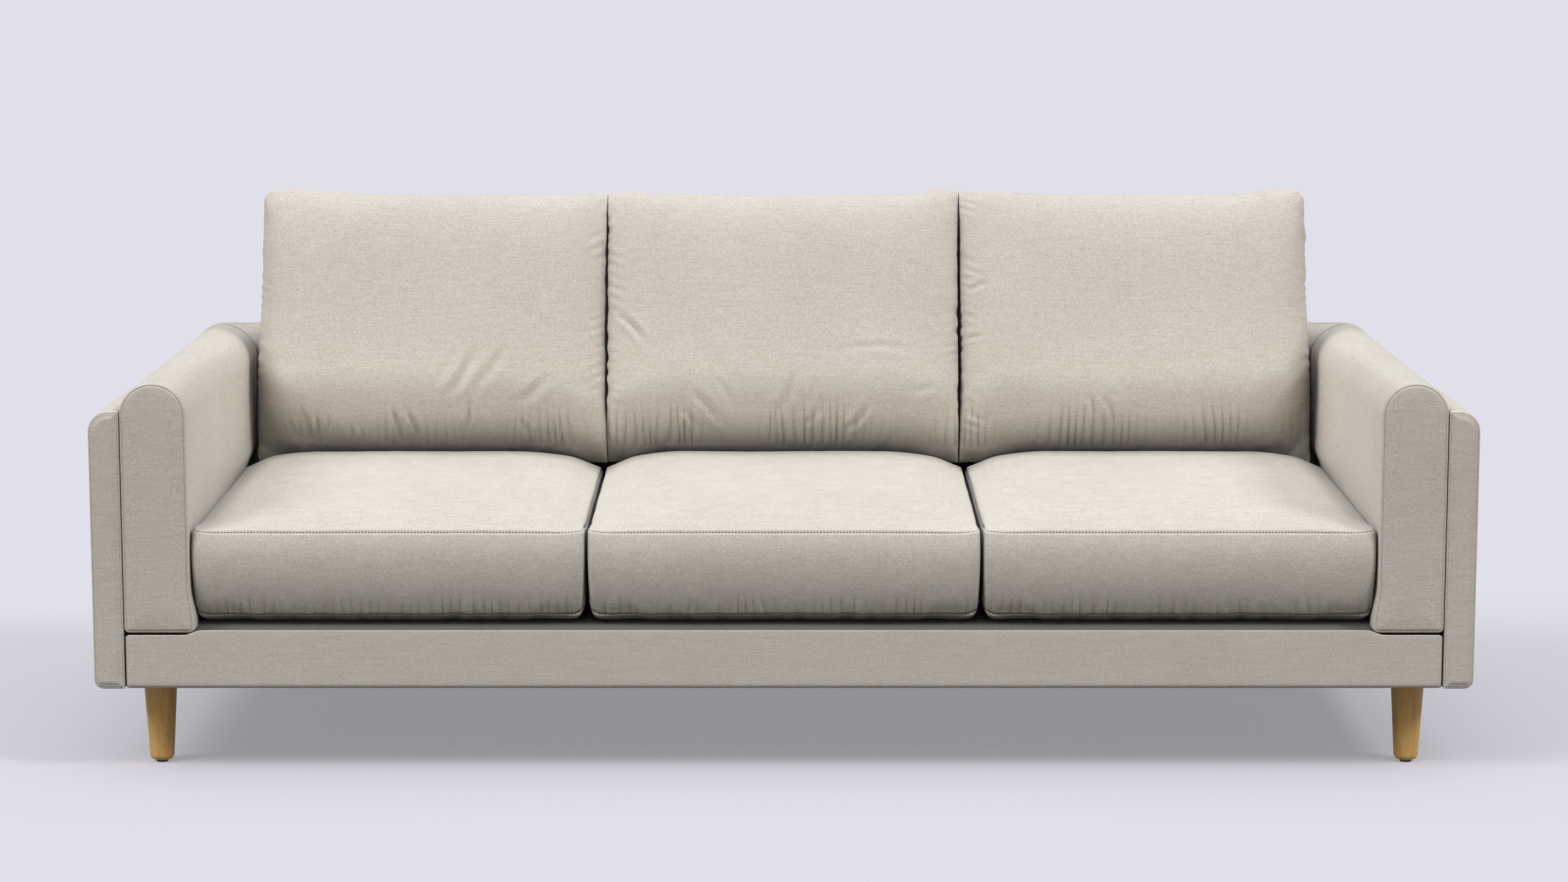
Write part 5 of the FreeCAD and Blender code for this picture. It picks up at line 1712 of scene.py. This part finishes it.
# Each row is a fold in the cloth: where it starts and ends, as shares of the width from the left
# and of the height, then its half width and its depth in millimetres.
PILLOW_CREASES = {
    "left": [(0.110, 0.125, 0.125, 0.050, 4, 1.5), (0.145, 0.175, 0.170, 0.050, 4, 1.8),
             (0.190, 0.130, 0.195, 0.070, 4, 1.3), (0.222, 0.145, 0.222, 0.080, 4, 1.2),
             (0.285, 0.100, 0.290, 0.050, 4, 1.2), (0.315, 0.090, 0.320, 0.045, 4, 1.0),
             (0.400, 0.170, 0.425, 0.040, 5, 2.0), (0.445, 0.150, 0.478, 0.050, 5, 2.0),
             (0.622, 0.200, 0.608, 0.080, 5, 1.6), (0.760, 0.120, 0.790, 0.060, 5, 1.2),
             (0.640, 0.385, 0.560, 0.190, 9, 2.2), (0.725, 0.390, 0.640, 0.230, 9, 1.6),
             (0.850, 0.280, 0.750, 0.170, 9, 1.4), (0.555, 0.330, 0.540, 0.240, 8, 0.9)],
    "centre": [(0.030, 0.510, 0.115, 0.385, 6, 2.0), (0.215, 0.160, 0.260, 0.080, 6, 1.5),
               (0.235, 0.220, 0.330, 0.095, 7, 1.8), (0.310, 0.260, 0.355, 0.170, 7, 1.2),
               (0.525, 0.290, 0.495, 0.150, 8, 1.8), (0.585, 0.260, 0.575, 0.180, 6, 1.0),
               (0.740, 0.180, 0.670, 0.080, 6, 1.8), (0.600, 0.170, 0.560, 0.100, 6, 1.2),
               (0.650, 0.370, 0.870, 0.365, 7, 0.8), (0.940, 0.250, 0.850, 0.215, 7, 0.8)],
    "right": [(0.350, 0.200, 0.375, 0.120, 6, 1.4), (0.395, 0.190, 0.425, 0.110, 6, 1.4),
              (0.430, 0.280, 0.440, 0.210, 7, 0.9), (0.870, 0.110, 0.880, 0.040, 5, 0.8),
              (0.910, 0.110, 0.915, 0.040, 5, 0.8), (0.010, 0.590, 0.075, 0.625, 5, 1.2),
              (0.005, 0.415, 0.060, 0.420, 4, 1.2), (0.005, 0.160, 0.045, 0.120, 5, 1.2)],
}


def long_creases(across, up, side):
    """How far all the long creases of one cushion press its front in."""
    width = 2 * pillow_half_x
    shift = np.zeros(len(up))
    for start_x, start_up, end_x, end_up, half_width, depth in PILLOW_CREASES[side]:
        start = ((start_x - 0.5) * width, start_up * pillow_tall)
        finish = ((end_x - 0.5) * width, end_up * pillow_tall)
        shift += crease(across, up, start, finish, half_width * MM, depth * MM)
    return CREASE_STRENGTH * shift


print("long creases", {side: len(rows) for side, rows in PILLOW_CREASES.items()})

# %% Puckers and foot folds
PUCKER_PITCH = 19 * MM
PUCKER_SLANT = 0.5
PUCKER_DEPTH = 1.5 * MM
PUCKER_MIDDLE = 13 * MM
FOOT_FOLD_PITCH = 15 * MM
FOOT_FOLD_DEPTH = 3.2 * MM
FOOT_FOLD_TOP = (40 * MM, 60 * MM, 70 * MM)
DENT_DEPTH = 2.2 * MM
DENT_SIZE = 210 * MM
REAR_SHARE = 0.3


def side_puckers(across, up, seed):
    """Short slanting folds beside the side seams, longest in the upper half."""
    from_side = pillow_half_x - np.abs(across)
    draw = np.stack([np.sign(across) * 0.05, up, np.zeros(len(up))], axis=1)
    turns = (up + PUCKER_SLANT * from_side) / PUCKER_PITCH
    phase = 2 * math.pi * turns + 7 * ripple(draw, 130 * MM, seed)
    patch = np.clip(0.35 + 1.1 * ripple(draw, 90 * MM, seed + 1), 0, 1)
    reach = 9 * MM + 13 * MM * patch
    band = np.exp(-((from_side - PUCKER_MIDDLE) / reach) ** 2)
    return PUCKER_DEPTH * np.sin(phase) * band * patch


def foot_folds(across, up, seed):
    """Narrow upright folds in the cloth that curls under, in patches, fading out over the belly."""
    place = np.stack([across, up * 0.12, np.zeros(len(up))], axis=1)
    crest = side_by_side(across, up, FOOT_FOLD_PITCH, seed)
    patch = np.clip(0.55 + 1.4 * ripple(place, 140 * MM, seed + 1), 0, 1)
    fade_from, shortest, longer = FOOT_FOLD_TOP
    band = ramp(up, 0, 18 * MM) * (1 - ramp(up, fade_from, shortest + longer * patch))
    return -FOOT_FOLD_DEPTH * crest * band * patch


def pillow_relief(own, side, seed):
    """How far the front of a back cushion moves in or out for its creases and soft dents."""
    across, up, out = own.T
    flat = np.stack([across, up, np.zeros(len(up))], axis=1)
    shift = side_puckers(across, up, seed) + long_creases(across, up, side)
    shift += foot_folds(across, up, seed + 3) + DENT_DEPTH * ripple(flat, DENT_SIZE, seed + 4)
    return np.where(out > 0, shift, REAR_SHARE * shift)


print("puckers", round(PUCKER_PITCH / MM), "mm apart, foot folds", round(FOOT_FOLD_PITCH / MM), "mm apart")

# %% Uneven sides
RUFFLE_DEPTH = 4.0 * MM
RUFFLE_SIZE = 17 * MM
RUFFLE_PATCH = 110 * MM
RUFFLE_REACH = 7 * MM
RUFFLE_OUT = (18 * MM, 34 * MM)
RUFFLE_AT_ARM = 0.35
PAST_SIDE = 0.02


def ruffle(own, side, seed):
    """Draw the side seams in a little here and there, so that the gaps have uneven edges."""
    lowest, highest = pillow_reach(side)
    own = own.copy()
    kept = np.clip(own[:, 0], lowest, highest)
    own[:, 0] = kept + PAST_SIDE * (own[:, 0] - kept)
    draw = np.stack([np.sign(own[:, 0]) * 0.05, own[:, 1], np.zeros(len(own))], axis=1)
    wave = np.clip(0.5 + 1.5 * ripple(draw, RUFFLE_SIZE, seed), 0, 1)
    wave = 0.25 + 0.75 * wave * np.clip(0.5 + 1.4 * ripple(draw, RUFFLE_PATCH, seed + 1), 0, 1)
    from_side = np.minimum(own[:, 0] - lowest, highest - own[:, 0])
    near = np.exp(-(from_side / RUFFLE_REACH) ** 2) * ramp(own[:, 2], *RUFFLE_OUT)
    near *= np.where(own[:, 0] * OUTER_SIDE[side] > 0, RUFFLE_AT_ARM, 1.0)
    own[:, 0] -= np.sign(own[:, 0]) * RUFFLE_DEPTH * wave * near
    return own


print("side seams draw in by up to", round(RUFFLE_DEPTH / MM, 1), "mm")

# %% Making the back cushions
PILLOW_DRAW_UP = 0.06
PILLOW_FOLD_SHARES = (1.0, 38 * MM, 0.15)
RUFFLE_SEED = 30


def depth_across(places):
    """The depth of a cushion's front from its left side to its right side."""
    return PILLOW_HALF_THICK * cheek_profile(places, SIDE_POWER)


def depth_up(places):
    """The depth of a cushion's front from its foot to its top."""
    foot = (PILLOW_HALF_THICK + PILLOW_TUCK) * curled_profile((places + 1) * pillow_tall / 2)
    return np.where(places > 0, PILLOW_HALF_THICK * cheek_profile(places, TOP_POWER), foot)


pillow_lines = (profile_lines(depth_across, pillow_half_x, PILLOW_CELLS[0]),
                profile_lines(depth_up, pillow_tall / 2, PILLOW_CELLS[1]),
                np.array([-1.0, 0.0, 1.0]))
pillow_spots, pillow_faces, pillow_numbers, pillow_counts = block_surface(pillow_lines)
pillow_seam = edge_loop(pillow_numbers, pillow_counts, 1)
for order, side in enumerate(SEAT_NAMES):
    pillow = new_piece(f"back_cushion_{side}", pillow_shape(pillow_spots, side), pillow_faces)
    kept = make_folds(pillow, [pillow_seam], [pillow_seam], PILLOW_DRAW_UP, *PILLOW_FOLD_SHARES)
    mesh = finer(pillow)
    own, normals = read_points(mesh), read_normals(mesh)
    write_points(mesh, own + normals * pillow_relief(own, side, PILLOW_SEEDS[side])[:, None])
    sink_seams(mesh, [pillow_seam])
    own = ruffle(read_points(mesh), side, PILLOW_SEEDS[side] + RUFFLE_SEED)
    own[:, 2] = np.maximum(own[:, 2], -PILLOW_HALF_THICK)
    placed = pillow_place(own, (order - 1) * PILLOW_PITCH)
    write_points(mesh, lean_on_rest(rest_on_seats(placed)))
    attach(pillow, f"back_cushion_{side}")
    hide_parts(f"back_cushion_cover_{side}", f"back_cushion_core_{side}")
    print("back cushion", side, len(mesh.vertices), "points, folds up to", round(kept * 1000, 1), "mm")

# %% [markdown]
# ## Joining the pieces to their bodies
# A cushion can be taken off, so it rides on a body of its own. Everything else of cloth is fixed
# to the frame.

# %% Fixed pieces ride on the frame
fixed = [*slabs.values(), *pads.values(), back_rest, rear_panel, *plinths.values(), deck]
for piece in fixed:
    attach(piece, "sofa_frame")
print("fixed pieces", len(fixed))

# %% [markdown]
# ## Stage and light
# The floor is one wide plane. It shows a pale tone to the camera but sends less light back up, as
# a matt studio floor does, so the undersides stay darker than the tops. Three distant lamps stand
# for a soft ceiling and one key from each side. Their strengths add up to about one on a surface
# that faces up, which makes a colour look about as it is written.

# %% The floor
FLOOR_HALF = 150.0
FLOOR_SEEN = colour(176, 174, 182)
FLOOR_BOUNCE = colour(118, 115, 110)
FLOOR_GLOW_COLOUR = colour(236, 234, 242)
FLOOR_GLOW = 0.34


def seen_or_mirrored(tree):
    """A mask that is 1 for what the camera sees, directly, in a mirror or through glass."""
    path = tree.nodes.new("ShaderNodeLightPath")
    both = math_node(tree, "MAXIMUM", path.outputs["Is Camera Ray"], path.outputs["Is Glossy Ray"])
    return math_node(tree, "MAXIMUM", both, path.outputs["Is Transmission Ray"])


floor_mesh = bpy.data.meshes.new("floor")
floor_mesh.from_pydata([(-FLOOR_HALF, -FLOOR_HALF, 0), (FLOOR_HALF, -FLOOR_HALF, 0),
                        (FLOOR_HALF, FLOOR_HALF, 0), (-FLOOR_HALF, FLOOR_HALF, 0)], [], [(0, 1, 2, 3)])
floor = bpy.data.objects.new("floor", floor_mesh)
bpy.context.scene.collection.objects.link(floor)
floor_material, floor_tree, floor_shader = new_material("floor", rough=1.0)
floor_seen = seen_or_mirrored(floor_tree)
set_inputs(floor_tree, floor_shader, {
    "Base Color": mix_colour(floor_tree, floor_seen, FLOOR_BOUNCE, FLOOR_SEEN),
    "Specular IOR Level": 0.0, "Emission Color": FLOOR_GLOW_COLOUR,
    "Emission Strength": math_node(floor_tree, "MULTIPLY", floor_seen, FLOOR_GLOW)})
floor_mesh.materials.append(floor_material)
print("floor", 2 * FLOOR_HALF, "m wide")

# %% Lamps and world
# Each lamp: the direction it stands in, its width in degrees, its share of the light, its tint.
LAMPS = {
    "ceiling": ((0.0, -0.05, 1.0), 105, 0.47, (0.965, 1.0, 1.06)),
    "key_right": ((0.64, -0.37, 0.68), 13, 0.225, (1.0, 0.99, 0.97)),
    "key_left": ((-0.64, -0.37, 0.68), 24, 0.255, (1.0, 0.99, 0.97)),
}
LAMP_DISTANCE = 4
WORLD_LIGHT = 0.15
WORLD_SEEN = 0.70
WORLD_TINT = (1.0, 0.985, 0.96, 1)
for name, (direction, width, share, tint) in LAMPS.items():
    lamp_data = bpy.data.lights.new(name, "SUN")
    toward = Vector(direction).normalized()
    lamp_data.angle = math.radians(width)
    lamp_data.color = tint
    lamp_data.energy = share * math.pi / toward.z
    lamp = bpy.data.objects.new(name, lamp_data)
    lamp.rotation_euler = toward.to_track_quat("Z", "Y").to_euler()
    lamp.location = toward * LAMP_DISTANCE
    bpy.context.scene.collection.objects.link(lamp)

world = bpy.data.worlds.new("world")
bpy.context.scene.world = world
world.use_nodes = True
sky = world.node_tree.nodes["Background"]
world_share = math_node(world.node_tree, "MULTIPLY_ADD", seen_or_mirrored(world.node_tree),
                        WORLD_SEEN - WORLD_LIGHT, WORLD_LIGHT)
set_inputs(world.node_tree, sky, {"Color": WORLD_TINT, "Strength": world_share})
bpy.context.scene.view_settings.view_transform = "Standard"
print("lamps", list(LAMPS), "world", WORLD_LIGHT)
